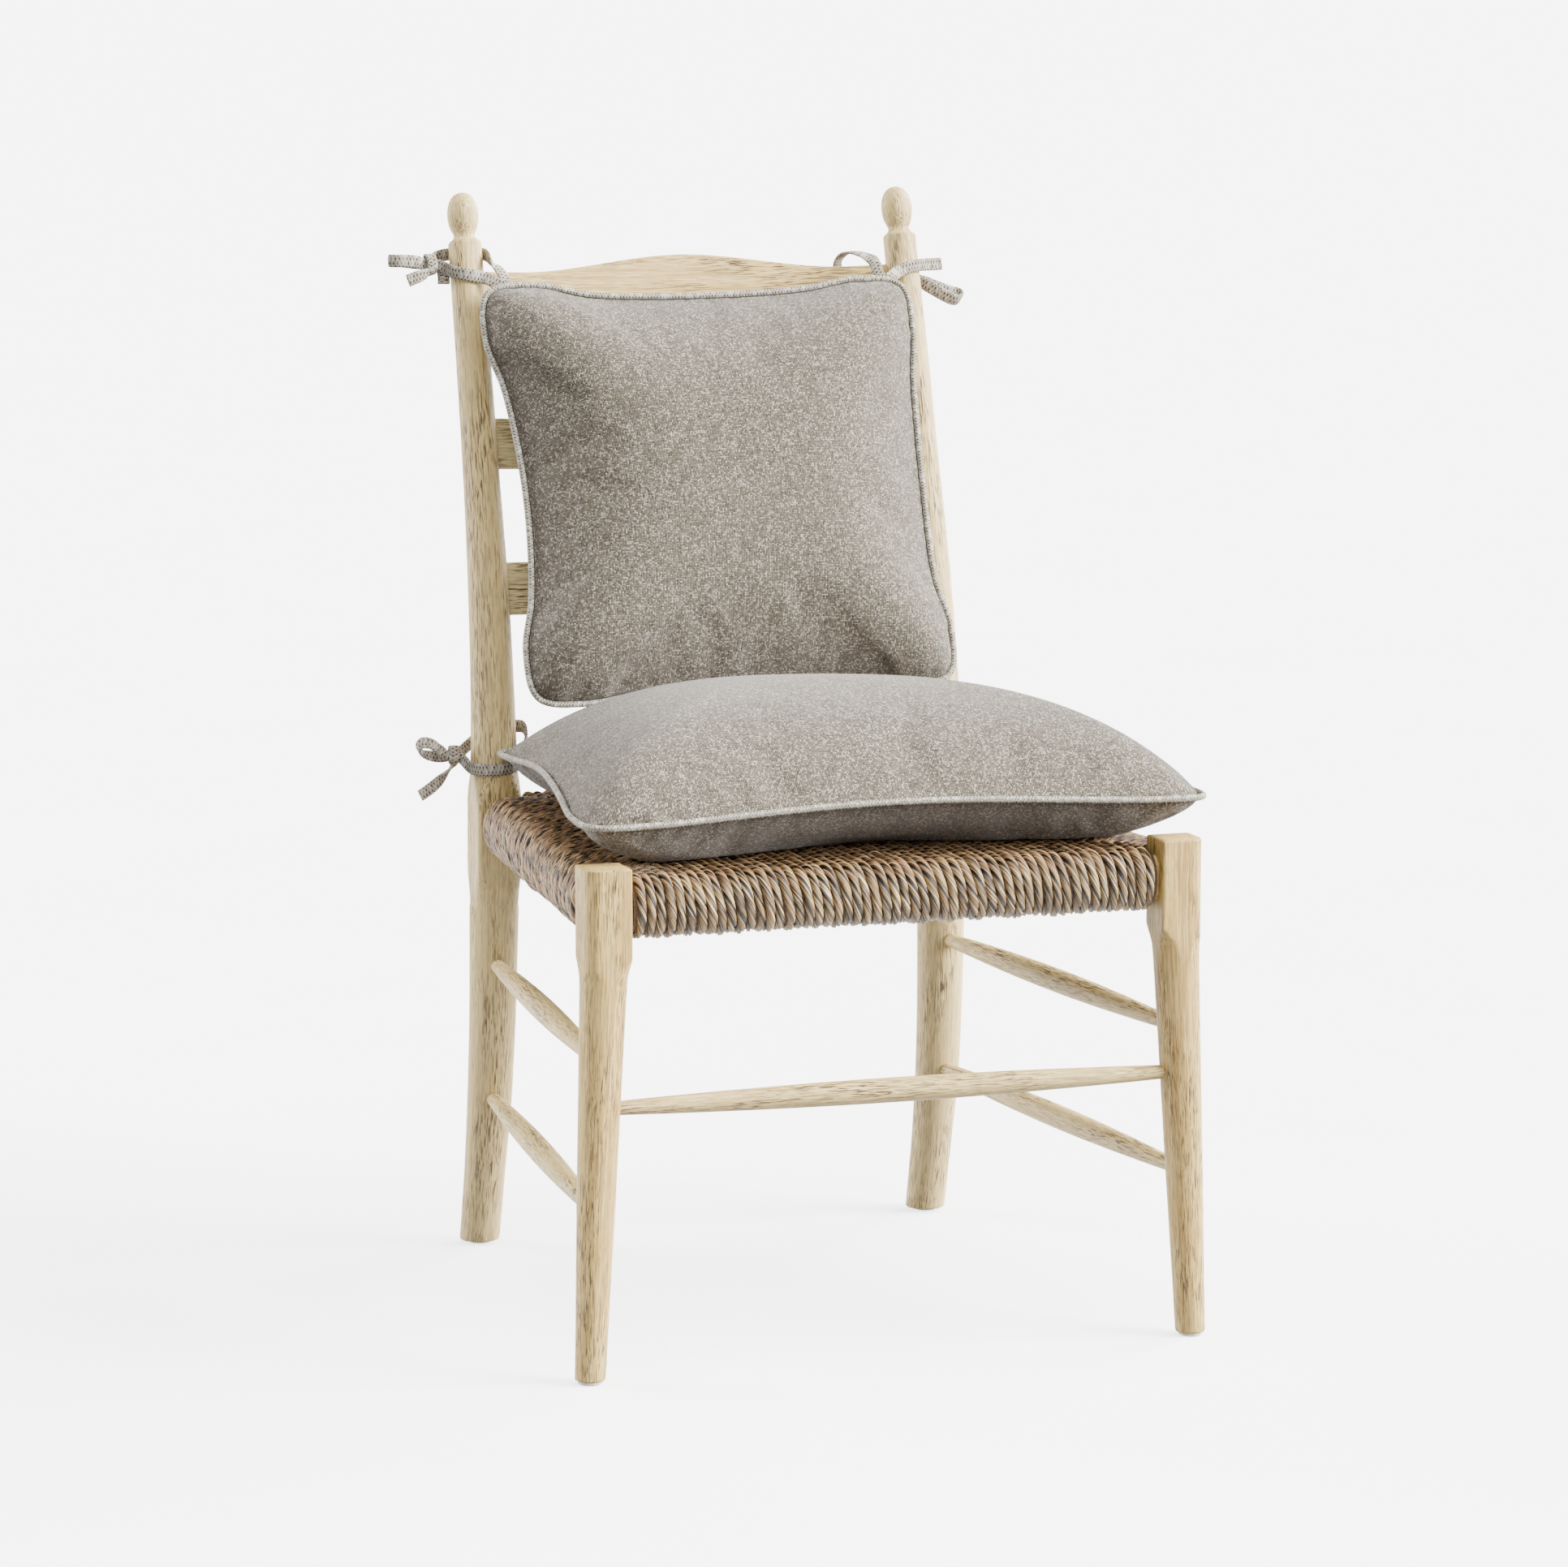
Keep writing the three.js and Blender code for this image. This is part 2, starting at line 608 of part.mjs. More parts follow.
function pipingBody(c) {
  const curve = cushionOutline(c, PIPING_OFF);
  const shape = new THREE.Shape();
  for (let i = 0; i < 6; i += 1) {
    const a = (Math.PI * i) / 3;
    if (i === 0) shape.moveTo(PIPING_R, 0);
    else shape.lineTo(PIPING_R * Math.cos(a), PIPING_R * Math.sin(a));
  }
  shape.closePath();
  const geometry = new THREE.ExtrudeGeometry(shape, { depth: 1, steps: AROUND, bevelEnabled: false });
  const start = 0.25;
  reshape(geometry, (v) => {
    const u = (start + PIPING_END + v.z * (1 - 2 * PIPING_END)) % 1;
    const p = curve.getPointAt(u);
    const t = curve.getTangentAt(u);
    const out = new THREE.Vector3(-t.y, t.x, 0);
    const across = v.x;
    const lift = v.y + seamLift(c, p.x, p.y);
    v.set(p.x + out.x * across, p.y + out.y * across, lift);
    place(c, v);
  });
  return solid(geometry);
}

function buildCushion(c) {
  add(c.name, solid(pillow(c)), LINEN);
  add(`${c.name}_piping`, pipingBody(c), PIPING);
}

// ---------------------------------------------------------------- ties
// A flat tubular strap swept along its points; each point carries the way its flat face looks.
function strapBody(points, normals, steps) {
  const curve = new THREE.CatmullRomCurve3(points, false, "centripetal");
  const facing = new THREE.CatmullRomCurve3(normals, false, "centripetal");
  const w = TIE_W / 2;
  const t = TIE_T / 2;
  const cut = 0.8;
  const shape = new THREE.Shape();
  shape.moveTo(-w + cut, -t);
  for (const [x, y] of [[w - cut, -t], [w, -t + cut], [w, t - cut], [w - cut, t], [-w + cut, t]]) {
    shape.lineTo(x, y);
  }
  shape.lineTo(-w, t - cut);
  shape.lineTo(-w, -t + cut);
  shape.closePath();
  const geometry = new THREE.ExtrudeGeometry(shape, { depth: 1, steps, bevelEnabled: false });
  reshape(geometry, (v) => {
    const p = curve.getPoint(v.z);
    const along = curve.getTangent(v.z);
    const flat = facing.getPoint(v.z);
    flat.addScaledVector(along, -flat.dot(along)).normalize();
    const across = new THREE.Vector3().crossVectors(flat, along);
    v.copy(p.addScaledVector(across, v.x).addScaledVector(flat, v.y));
  });
  return geometry;
}

// A point beside the post: turned about its centre line from the front towards the outside.
function around(degrees, radius, z) {
  const a = THREE.MathUtils.degToRad(degrees);
  const c = postAxisAt(z).point;
  const facing = new THREE.Vector3(Math.sin(a), -Math.cos(a), 0);
  return [new THREE.Vector3(c.x + radius * facing.x, c.y + radius * facing.y, z), facing];
}

// A point measured outwards (u) and backwards (v) from the post's centre line.
function beside(u, v, z, facing, reference) {
  const c = postAxisAt(reference).point;
  return [new THREE.Vector3(c.x + u, c.y + v, z), new THREE.Vector3(...facing)];
}

// A row of four is outwards, backwards, height and the way the flat face looks, measured from the
// post's centre line at the reference height. A row of three is degrees round the post from its
// front towards the outside, radius and height.
function strapRoute(rows, reference) {
  return rows.map((row) => (row.length === 3 ? around(...row) : beside(...row, reference)));
}

function sweep(rows) {
  return strapBody(rows.map((row) => row[0]), rows.map((row) => row[1]), 2 * rows.length);
}

const SEAT_BOW = {
  reference: 476,
  loop: [
    [-27, -12, 475, [-0.9, -0.4, 0]], [-40, 26.2, 470.5], [-12, 25.9, 468], [15, 25.9, 467.5],
    [45, 25.9, 467], [75, 25.9, 468], [28.6, 1, 473, [0.85, -0.5, 0.1]], [33, 4.2, 477.4, [0, -1, 0]],
    [45, 4.4, 478.3, [0, -1, 0.1]], [52.5, 3.4, 485, [-0.15, -0.8, 0.6]],
    [60, 2, 490.5, [0, -0.75, 0.65]], [68, 4, 491.5, [0.6, -0.6, 0.5]], [71.5, 7, 487, [1, -0.1, 0]],
    [68, 10, 481.5, [0.5, 0.4, -0.75]], [58, 10, 478, [0, 0.75, -0.65]], [47, 9, 477, [0, 0.95, -0.3]],
    [41, 7.8, 477.5, [0, 1, 0]], [33, 7.8, 477.5, [0, 1, 0]],
  ],
  tail: [
    [-27, -11, 488, [-0.95, -0.3, 0]], [-30, -6, 496, [-1, -0.2, 0]], [-29.5, 2, 502.5, [-1, 0.1, 0]],
    [-120, 25.5, 502], [-150, 24.4, 499], [-185, 24.4, 496], [-215, 25, 489],
    [28, 15, 480, [0.4, 0.9, 0]], [36, 11.5, 474.5, [0, 0.94, -0.34]],
    [36.5, 11.3, 481.3, [0, 0.91, 0.42]], [37, 8, 485.9, [0, 0.34, 0.94]],
    [37.5, 4.2, 485.9, [0, -0.34, 0.94]], [38, 0.9, 481.3, [0, -0.91, 0.42]],
    [38.5, 0.7, 474.5, [0, -0.94, -0.34]], [39.5, 3.2, 469.8, [0, -0.5, -0.87]],
    [45, 0, 463.5, [0, -0.5, -0.8]], [54, -3, 456, [0.3, -0.75, -0.55]],
    [63, -5, 449.5, [0.4, -0.8, -0.4]], [73.5, -7, 443.4, [0.4, -0.8, -0.4]],
  ],
};
const BACK_LEFT_BOW = {
  reference: 925,
  loop: [
    [-31, -33.5, 912.5, [-0.25, -0.95, 0]], [-22, -29.5, 915.6, [-0.4, -0.9, 0]],
    [-11.4, -21.5, 920.5, [-0.35, -0.93, 0]], [-5, 20, 922.5], [25, 19.8, 924.5], [55, 19.8, 926],
    [80, 20, 928.5], [23, 1.5, 930.5, [0.85, -0.5, 0.1]], [27.5, 4.2, 932.5, [0, -1, 0]],
    [40, 4.6, 933, [0, -1, 0]], [48.5, 2.2, 935.5, [-0.1, -1, 0]], [60, 0.5, 936.5, [0, -1, 0]],
    [69, 2.5, 936.5, [0.5, -0.85, 0]], [73.5, 7, 936.5, [1, 0, 0]], [69, 11.5, 936.3, [0.5, 0.85, 0]],
    [58, 13, 935.5, [0, 1, 0]], [44, 9.5, 933.5, [-0.1, 1, 0]], [35, 7.9, 932, [0, 1, 0]],
    [27.5, 8.2, 931.5, [0, 1, 0]], [22.5, 8.6, 928, [0, 1, 0]], [20.5, 8.8, 921, [0, 1, 0]],
    [20.5, 8.5, 913.5, [0, 1, 0]],
  ],
  tail: [
    [-31, -27.5, 917, [-0.2, -0.97, 0.1]], [-27, -22.5, 926, [-0.5, -0.85, 0.1]],
    [-20.5, -15.5, 934.5, [-0.8, -0.6, 0]], [-75, 20.6, 939.5], [-110, 20, 941], [-150, 19.8, 941.5],
    [-185, 19.8, 941.5], [-215, 20, 941], [20, 17, 940.5, [0.45, 0.85, 0.2]],
    [28, 15, 939, [0.2, 0.9, 0.4]], [33.5, 10.5, 938.2, [0, 0.77, 0.64]],
    [35, 7.6, 941.1, [0, 0.26, 0.97]], [34.5, 4.2, 940.9, [0, -0.34, 0.94]],
    [33.5, 0.9, 936.3, [0, -0.91, 0.42]], [33, 0.7, 929.5, [0, -0.94, -0.34]],
    [34, 3.2, 924.8, [0, -0.5, -0.87]], [38, -1, 924.5, [0.1, -0.85, -0.5]],
    [47, -5, 922.5, [0.2, -0.95, -0.2]], [59, -6, 918.2, [0.25, -0.95, -0.1]],
  ],
};
const BACK_RIGHT_BOW = {
  reference: 925,
  loop: [
    [-31.4, -32.6, 912, [-0.3, -0.9, 0.2]], [-36, -31, 921, [-0.3, -0.9, 0.3]],
    [-38, -26, 929.5, [-0.4, -0.7, 0.6]], [-42, -18, 934, [-0.2, -0.3, 0.95]],
    [-47, -8, 936.4, [-0.1, -0.1, 1]], [-52, 0, 937.1, [0, 0, 1]], [-57, 9, 935, [-0.2, 0.4, 0.9]],
    [-60, 18, 926, [-0.5, 0.8, 0.3]], [-56, 22, 914, [-0.2, 1, 0]], [-40, 22, 909, [0, 1, 0]],
    [-15, 19.5, 909, [0, 1, 0]], [5, 18, 910, [0.1, 1, 0]], [14.3, 17, 911, [0.4, 0.9, 0]],
    [21.3, 13.5, 908.3, [0.4, 0.9, 0.1]], [36.9, 6, 898.3, [0.4, 0.9, 0.2]],
    [53.8, 2, 889.6, [0.1, 0.9, 0.4]], [61.7, 6, 889.8, [-0.8, 0.3, 0.4]],
    [63.5, 10, 893.5, [-1, -0.2, 0.3]], [51.3, 14, 897.6, [-0.3, -0.9, 0.2]],
    [32, 18.5, 905.3, [-0.2, -0.95, 0]], [26, 20.5, 907.5, [-0.2, -0.95, 0]],
  ],
  tail: [
    [-24, -27.5, 890, [-0.1, -1, 0]], [-25.5, -29.5, 902, [-0.1, -1, 0]],
    [-25.5, -31, 910, [-0.1, -0.95, 0.2]], [-18.7, -28, 916.2, [-0.3, -0.95, 0.1]],
    [-9.8, -22, 920, [-0.3, -0.95, 0]], [0, 20, 923.3], [25, 20, 924.5],
    [19, -13, 925, [0.25, -0.95, 0]], [31, -10, 925, [0.2, -1, 0.1]],
    [37, -9.5, 925.5, [0.2, -1, 0.1]],
  ],
};
const TIES = {
  seat_tie_left: SEAT_BOW,
  seat_tie_right: SEAT_BOW,
  back_tie_left: BACK_LEFT_BOW,
  back_tie_right: BACK_RIGHT_BOW,
};

function buildTies() {
  for (const [name, bow] of Object.entries(TIES)) {
    const side = name.endsWith("left") ? -1 : 1;
    for (const part of ["loop", "tail"]) {
      const strap = sweep(strapRoute(bow[part], bow.reference));
      add(`${name}_${part}`, solid(mirrored(strap, side)), TIE);
    }
  }
}

buildFrame();
buildRush();
buildCushion(SEAT_CUSHION);
buildCushion(BACK_CUSHION);
buildTies();

export default group;
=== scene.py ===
import math
import bpy
import numpy as np
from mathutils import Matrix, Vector


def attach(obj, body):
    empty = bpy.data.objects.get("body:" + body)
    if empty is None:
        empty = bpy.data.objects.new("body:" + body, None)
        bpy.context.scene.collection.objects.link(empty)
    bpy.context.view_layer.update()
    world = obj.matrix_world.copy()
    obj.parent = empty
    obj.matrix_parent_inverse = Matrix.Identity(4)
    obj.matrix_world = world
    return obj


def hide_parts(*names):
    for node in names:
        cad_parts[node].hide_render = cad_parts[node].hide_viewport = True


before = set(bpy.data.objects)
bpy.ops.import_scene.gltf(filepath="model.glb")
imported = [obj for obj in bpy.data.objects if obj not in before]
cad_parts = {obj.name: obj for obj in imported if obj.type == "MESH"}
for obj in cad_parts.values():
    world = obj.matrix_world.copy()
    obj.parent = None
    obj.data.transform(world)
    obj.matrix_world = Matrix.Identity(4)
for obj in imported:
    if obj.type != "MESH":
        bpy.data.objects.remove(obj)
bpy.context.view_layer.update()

MM = 0.001
SIDES = ((-1, "left"), (1, "right"))
SHIFT = (-5.05, -32.85, 0.0)  # mm, from the chair's own drawing to the row frame
rng = np.random.default_rng(7)


# ---- node helpers
class Nodes:
    """Builds one procedural material, a line per node."""

    def __init__(self, name):
        self.material = bpy.data.materials.new(name)
        self.material.use_nodes = True
        self.tree = self.material.node_tree
        self.shader = self.tree.nodes["Principled BSDF"]

    def link(self, socket, value):
        if isinstance(value, bpy.types.NodeSocket):
            self.tree.links.new(value, socket)
        else:
            socket.default_value = value

    def add(self, kind, inputs=(), out=0, **settings):
        node = self.tree.nodes.new(kind)
        for key, value in settings.items():
            setattr(node, key, value)
        for key, value in dict(inputs).items():
            self.link(node.inputs[key], value)
        return node.outputs[out]

    def math(self, operation, a, b=0.0):
        return self.add("ShaderNodeMath", {0: a, 1: b}, operation=operation)

    def times(self, a, b):
        return self.math("MULTIPLY", a, b)

    def plus(self, a, b):
        return self.math("ADD", a, b)

    def minus(self, a, b):
        return self.math("SUBTRACT", a, b)

    def xyz(self, x, y, z):
        return self.add("ShaderNodeCombineXYZ", {0: x, 1: y, 2: z})

    def parts(self, vector):
        node = self.add("ShaderNodeSeparateXYZ", {0: vector}).node
        return node.outputs["X"], node.outputs["Y"]

    def random(self, cell):
        return self.add("ShaderNodeTexWhiteNoise", {"Vector": cell}, out="Value")

    def attribute(self, name, out="Vector"):
        return self.add("ShaderNodeAttribute", attribute_name=name, out=out)

    def scaled(self, vector, scale):
        return self.add("ShaderNodeVectorMath", {0: vector, 1: scale}, operation="MULTIPLY")

    def noise(self, vector, scale, detail=4.0, roughness=0.55, distortion=0.0, out="Fac"):
        if isinstance(scale, tuple):
            vector, scale = self.scaled(vector, scale), 1.0
        inputs = {"Vector": vector, "Scale": scale, "Detail": detail}
        inputs.update({"Roughness": roughness, "Distortion": distortion})
        return self.add("ShaderNodeTexNoise", inputs, out=out)

    def ramp(self, value, stops):
        node = self.tree.nodes.new("ShaderNodeValToRGB")
        elements = node.color_ramp.elements
        while len(elements) < len(stops):
            elements.new(0.5)
        for element, (position, color) in zip(elements, stops):
            element.position = position
            element.color = color
        self.link(node.inputs["Fac"], value)
        return node.outputs["Color"]

    def range(self, value, low, high, to_low=0.0, to_high=1.0):
        inputs = {0: value, 1: low, 2: high, 3: to_low, 4: to_high}
        return self.add("ShaderNodeMapRange", inputs, clamp=True)

    def mix(self, factor, a, b, blend="MIX"):
        node = self.tree.nodes.new("ShaderNodeMix")
        node.data_type = "RGBA"
        node.blend_type = blend
        self.link(node.inputs["Factor"], factor)
        self.link(node.inputs["A"], a)
        self.link(node.inputs["B"], b)
        return node.outputs["Result"]

    def bump(self, height, strength, distance):
        return self.add("ShaderNodeBump", {"Height": height, "Strength": strength, "Distance": distance})

    def finish(self, color, roughness, specular, normal=None, **others):
        sockets = {"Base Color": color, "Roughness": roughness, "Specular IOR Level": specular, **others}
        if normal is not None:
            sockets["Normal"] = normal
        for key, value in sockets.items():
            self.link(self.shader.inputs[key.replace("_", " ")], value)
        return self.material


def rgb(red, green, blue):
    """An sRGB colour from 0 to 255, as the linear colour that a node wants."""
    def linear(c):
        c = c / 255
        return c / 12.92 if c <= 0.04045 else ((c + 0.055) / 1.055) ** 2.4
    return (linear(red), linear(green), linear(blue), 1.0)


# ---- colours and materials
OAK_PALE = rgb(193, 162, 93)
OAK_WARM = rgb(179, 146, 81)
OAK_BAND = rgb(160, 128, 72)
OAK_STREAK = rgb(116, 88, 48)
OAK_LIME = rgb(212, 190, 127)
OAK_PORE = rgb(54, 36, 18)
# the paler oak that the painted light mixes towards
OAK_PAINTED_LIGHT = rgb(228, 212, 162)
RUSH_DARK = rgb(40, 27, 15)
RUSH_MID = rgb(104, 76, 42)
RUSH_LIGHT = rgb(166, 134, 84)
RUSH_PALE = rgb(252, 228, 174)
RUSH_PINK = rgb(170, 130, 100)
# near black, painted shade for the rush's folds and grooves
RUSH_GAP_SHADE = rgb(14, 9, 6)
LINEN_DARK = rgb(40, 35, 28)
LINEN_LOW = rgb(84, 76, 64)
LINEN_MID = rgb(110, 101, 88)
LINEN_LIGHT = rgb(184, 177, 164)
# each braid's light and dark: painted highlight on its ribs and painted shade in its grooves; the dark
# also colours its random dark flecks
PIPING_LIGHT, PIPING_DARK = rgb(152, 146, 132), rgb(72, 66, 57)
BRAID_LIGHT, BRAID_DARK = rgb(160, 152, 137), rgb(60, 52, 43)


def oak_material():
    """Limed oak: the grain attribute holds metres across, across and along the fibres, and a second
    attribute says how far a piece is mixed towards a paler oak than the front legs; that paleness is
    painted light on pieces that the lamps leave darker."""
    n = Nodes("oak_limed")
    grain = n.attribute("grain")
    tone = n.noise(grain, (16, 16, 1.8), 3.0)
    bands = n.noise(grain, (110, 110, 3.4), 4.0, 0.6, 0.6)
    streak = n.noise(grain, (520, 520, 13), 3.0, 0.6)
    pores = n.noise(grain, (1050, 1050, 64), 2.0, 0.45)
    dashes = n.noise(grain, (820, 820, 44), 1.0, 0.4)
    color = n.mix(n.range(tone, 0.35, 0.65), OAK_PALE, OAK_WARM)
    color = n.mix(n.range(bands, 0.45, 0.72, 0, 0.6), color, OAK_BAND)
    color = n.mix(n.range(streak, 0.52, 0.68, 0, 0.42), color, OAK_STREAK)
    color = n.mix(n.range(streak, 0.5, 0.3, 0, 0.75), color, OAK_LIME)
    # painted light: each piece is mixed towards the paler oak by its share
    color = n.mix(n.attribute("painted_light_share", "Fac"), color, OAK_PAINTED_LIGHT)
    patch = n.range(n.noise(grain, (48, 48, 8), 2.0), 0.4, 0.62, 0.3, 1.0)
    dark = n.times(n.range(pores, 0.53, 0.6), patch)
    long_dark = n.times(n.range(dashes, 0.59, 0.64, 0, 0.8), patch)
    dark = n.math("MAXIMUM", dark, long_dark)
    color = n.mix(n.times(dark, 0.95), color, OAK_PORE)
    height = n.minus(n.times(streak, 0.4), dark)
    return n.finish(color, n.range(streak, 0.3, 0.8, 0.5, 0.68), 0.3, n.bump(height, 0.4, 0.0005))


def rush_material():
    """Twisted rush: strand is (metres along, cosine and sine round the cord), crease marks its folds."""
    n = Nodes("rush_cord")
    strand = n.attribute("strand")
    crease = n.attribute("crease", "Fac")
    fibres = n.noise(strand, (26, 3.6, 3.6), 4.0, 0.65)
    lines = n.noise(strand, (15, 4.6, 4.6), 2.0, 0.5)
    blades = n.noise(strand, (12, 0.9, 0.9), 1.0)
    color = n.ramp(fibres, [
        (0.36, RUSH_DARK), (0.44, RUSH_MID), (0.54, RUSH_LIGHT), (0.66, RUSH_PALE),
    ])
    pink = n.times(n.range(blades, 0.4, 0.66, 0.1, 0.7), n.attribute("blush", "Fac"))
    color = n.mix(pink, color, RUSH_PINK)
    # painted shade: near black along the thin noise lines that the bump sinks as grooves, and in the folds
    # cut into each cord
    color = n.mix(n.range(lines, 0.535, 0.56, 0, 0.9), color, RUSH_GAP_SHADE)
    color = n.mix(n.range(crease, 0.05, 0.32, 0, 0.98), color, RUSH_GAP_SHADE)
    height = n.minus(fibres, n.times(n.range(lines, 0.55, 0.72), 0.9))
    return n.finish(color, 0.55, 0.4, n.bump(height, 1.0, 0.001))


WEAVE_PITCH = 1.55 * MM
WEAVE_WOBBLE = 0.0012  # metres that a thread may stray
EVEN_OFFSET = 4000.0  # keeps the checkerboard's count above 0
THREAD_CONTRAST, SPECK_CONTRAST = 0.26, 0.44


def linen_material():
    """Plain weave in the cloth attribute's own metres, with light and dark slubs."""
    n = Nodes("linen_greige")
    cloth = n.attribute("cloth")
    wobble = n.noise(cloth, 90.0, 2.0, out="Color")
    stray = n.add("ShaderNodeVectorMath", {0: wobble, 1: (0.5, 0.5, 0.5)}, operation="SUBTRACT")
    stray = n.scaled(stray, (WEAVE_WOBBLE,) * 3)
    moved = n.add("ShaderNodeVectorMath", {0: cloth, 1: stray}, operation="ADD")
    across, along = n.parts(n.scaled(moved, (1 / WEAVE_PITCH,) * 3))
    col, row = n.math("FLOOR", across), n.math("FLOOR", along)
    over = n.math("MODULO", n.plus(n.plus(col, row), EVEN_OFFSET), 2.0)
    round_x = n.math("ABSOLUTE", n.math("SINE", n.times(across, math.pi)))
    round_y = n.math("ABSOLUTE", n.math("SINE", n.times(along, math.pi)))
    warp = n.times(n.math("POWER", round_x, 0.7), n.math("POWER", round_y, 0.3))
    weft = n.times(n.math("POWER", round_y, 0.7), n.math("POWER", round_x, 0.3))
    height = n.add("ShaderNodeMix", {"Factor": over, "A": warp, "B": weft}, data_type="FLOAT")

    def thread_tone(line, position, seed):
        place = n.xyz(n.times(line, 1.37), position, seed)
        return n.noise(place, (1, 0.09, 1), 2.0, 0.7)

    tones = {"Factor": over, "A": thread_tone(col, along, 3.3), "B": thread_tone(row, across, 11.7)}
    tone = n.add("ShaderNodeMix", tones, data_type="FLOAT")
    tone = n.times(n.minus(tone, 0.5), THREAD_CONTRAST)
    speck = n.times(n.minus(n.random(n.xyz(col, row, 5.0)), 0.5), SPECK_CONTRAST)
    tone = n.plus(n.plus(tone, speck), 0.5)
    color = n.ramp(tone, [
        (0.2, LINEN_DARK), (0.36, LINEN_LOW), (0.6, LINEN_MID), (0.8, LINEN_LIGHT),
    ])
    # painted shade and highlight: the colour is darkened in the hollows between the threads and lightened
    # on their crowns
    weave_shade = n.range(height, 0.15, 0.75, 0.12, 1.2)
    color = n.mix(1.0, color, n.add("ShaderNodeCombineColor", {0: weave_shade, 1: weave_shade, 2: weave_shade}), "MULTIPLY")
    drift = n.noise(cloth, 7.0, 2.0)
    color = n.mix(n.range(drift, 0.35, 0.7, 0, 0.1), color, LINEN_LOW)
    normal = n.bump(height, 0.7, 0.0006)
    return n.finish(color, 0.9, 0.15, normal, Sheen_Weight=0.2, Sheen_Roughness=0.5)


def braid_material(name, light, dark, ribs, slant):
    """Braided cord or strap: strand is (metres along, share of a turn round, 0)."""
    n = Nodes(name)
    along, around = n.parts(n.attribute("strand"))
    a = n.plus(n.times(along, ribs), n.times(around, slant))
    b = n.minus(n.times(along, ribs), n.times(around, slant))
    wave_a = n.math("SINE", n.times(a, 2 * math.pi))
    wave_b = n.math("SINE", n.times(b, 2 * math.pi))
    height = n.range(n.math("MAXIMUM", wave_a, wave_b), -0.6, 1.0)
    speck = n.random(n.xyz(n.math("FLOOR", a), n.math("FLOOR", b), 0.0))
    # painted shade and highlight: dark in the grooves between the ribs and light on the ribs, following
    # the relief's height
    color = n.mix(n.range(height, 0.1, 0.75), dark, light)
    color = n.mix(n.range(speck, 0.6, 1.0, 0, 0.35), color, rgb(238, 235, 228))
    color = n.mix(n.range(speck, 0.35, 0.0, 0, 0.3), color, dark)
    return n.finish(color, 0.85, 0.2, n.bump(height, 0.6, 0.0005))


def mottled_material(name, scale, detail, colors, roughness, relief=None, spread=0.2, specular=0.5,
                     **others):
    """Two close colours in a mottle, for the plainer pieces; relief is a bump's strength and metres."""
    n = Nodes(name)
    mottle = n.noise(n.add("ShaderNodeTexCoord", out="Object"), scale, detail)
    color = n.mix(n.range(mottle, 0.5 - spread, 0.5 + spread), *colors)
    return n.finish(color, roughness, specular, n.bump(mottle, *relief) if relief else None, **others)


OAK = oak_material()
RUSH = rush_material()
LINEN = linen_material()
PIPING = braid_material("piping_cord", PIPING_LIGHT, PIPING_DARK, 330, 3.0)
BRAID = braid_material("tie_braid", BRAID_LIGHT, BRAID_DARK, 300, 5.0)
# dark brown, partly the stuffing's own colour and partly painted shade for the gaps between the cords
STUFFING = mottled_material(
    "rush_stuffing", (90, 90, 700), 3.0, (rgb(52, 38, 24), rgb(84, 62, 40)), 0.8, (0.6, 0.001), 0.15,
)
# dark grey-brown, painted shade for the crease beside the piping
FLANGE = mottled_material(
    "piping_flange", 900.0, 2.0, (rgb(44, 39, 33), rgb(66, 60, 52)), 0.95, (0.3, 0.0003),
)
NYLON = mottled_material(
    "glide_nylon", 400.0, 3.0, (rgb(214, 210, 200), rgb(196, 192, 182)), 0.45, (0.2, 0.0003),
)
FLOOR = mottled_material(
    "studio_floor", 3.0, 3.0, (rgb(236, 236, 236), rgb(233, 233, 233)), 0.9, specular=0.05,
    Emission_Color=rgb(255, 255, 255), Emission_Strength=2.6,
)


# ---- mesh helpers
# how much paler than the front legs the pieces whose names start so are painted: painted light, lifting
# the pieces that the lamps leave in shade
PAINTED_LIGHT_SHARES = {"post_back": 0.3, "slat": 0.7, "stretcher": 0.25, "crest": 0.1}


def new_object(name, data):
    obj = bpy.data.objects.new(name, data)
    bpy.context.scene.collection.objects.link(obj)
    return obj


def new_mesh(name, vertices, faces):
    mesh = bpy.data.meshes.new(name)
    mesh.from_pydata(np.asarray(vertices, float).tolist(), [], faces)
    return mesh


def add_piece(name, vertices, faces, material, replaces, attributes=None, smooth=True):
    """One visible piece on the chair's body, standing for the CAD node that it replaces."""
    mesh = new_mesh(name, vertices, faces)
    mesh.update()
    for key, values in (attributes or {}).items():
        values = np.asarray(values, np.float32)
        kind, field = ("FLOAT", "value") if values.ndim == 1 else ("FLOAT_VECTOR", "vector")
        mesh.attributes.new(key, kind, "POINT").data.foreach_set(field, values.ravel())
    mesh.polygons.foreach_set("use_smooth", [smooth] * len(mesh.polygons))
    obj = new_object(name, mesh)
    mesh.materials.append(material)
    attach(obj, "root")
    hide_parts(replaces)
    return obj


def add_oak(name, vertices, faces, node, grain):
    """A piece of oak, with its grain in metres and its own share of painted light, given as paleness."""
    painted_light_share = next((amount for start, amount in PAINTED_LIGHT_SHARES.items() if name.startswith(start)), 0.0)
    attributes = {"grain": np.reshape(grain, (-1, 3)) * MM, "painted_light_share": np.full(len(vertices), painted_light_share)}
    add_piece(name, placed(vertices), faces, OAK, node, attributes)


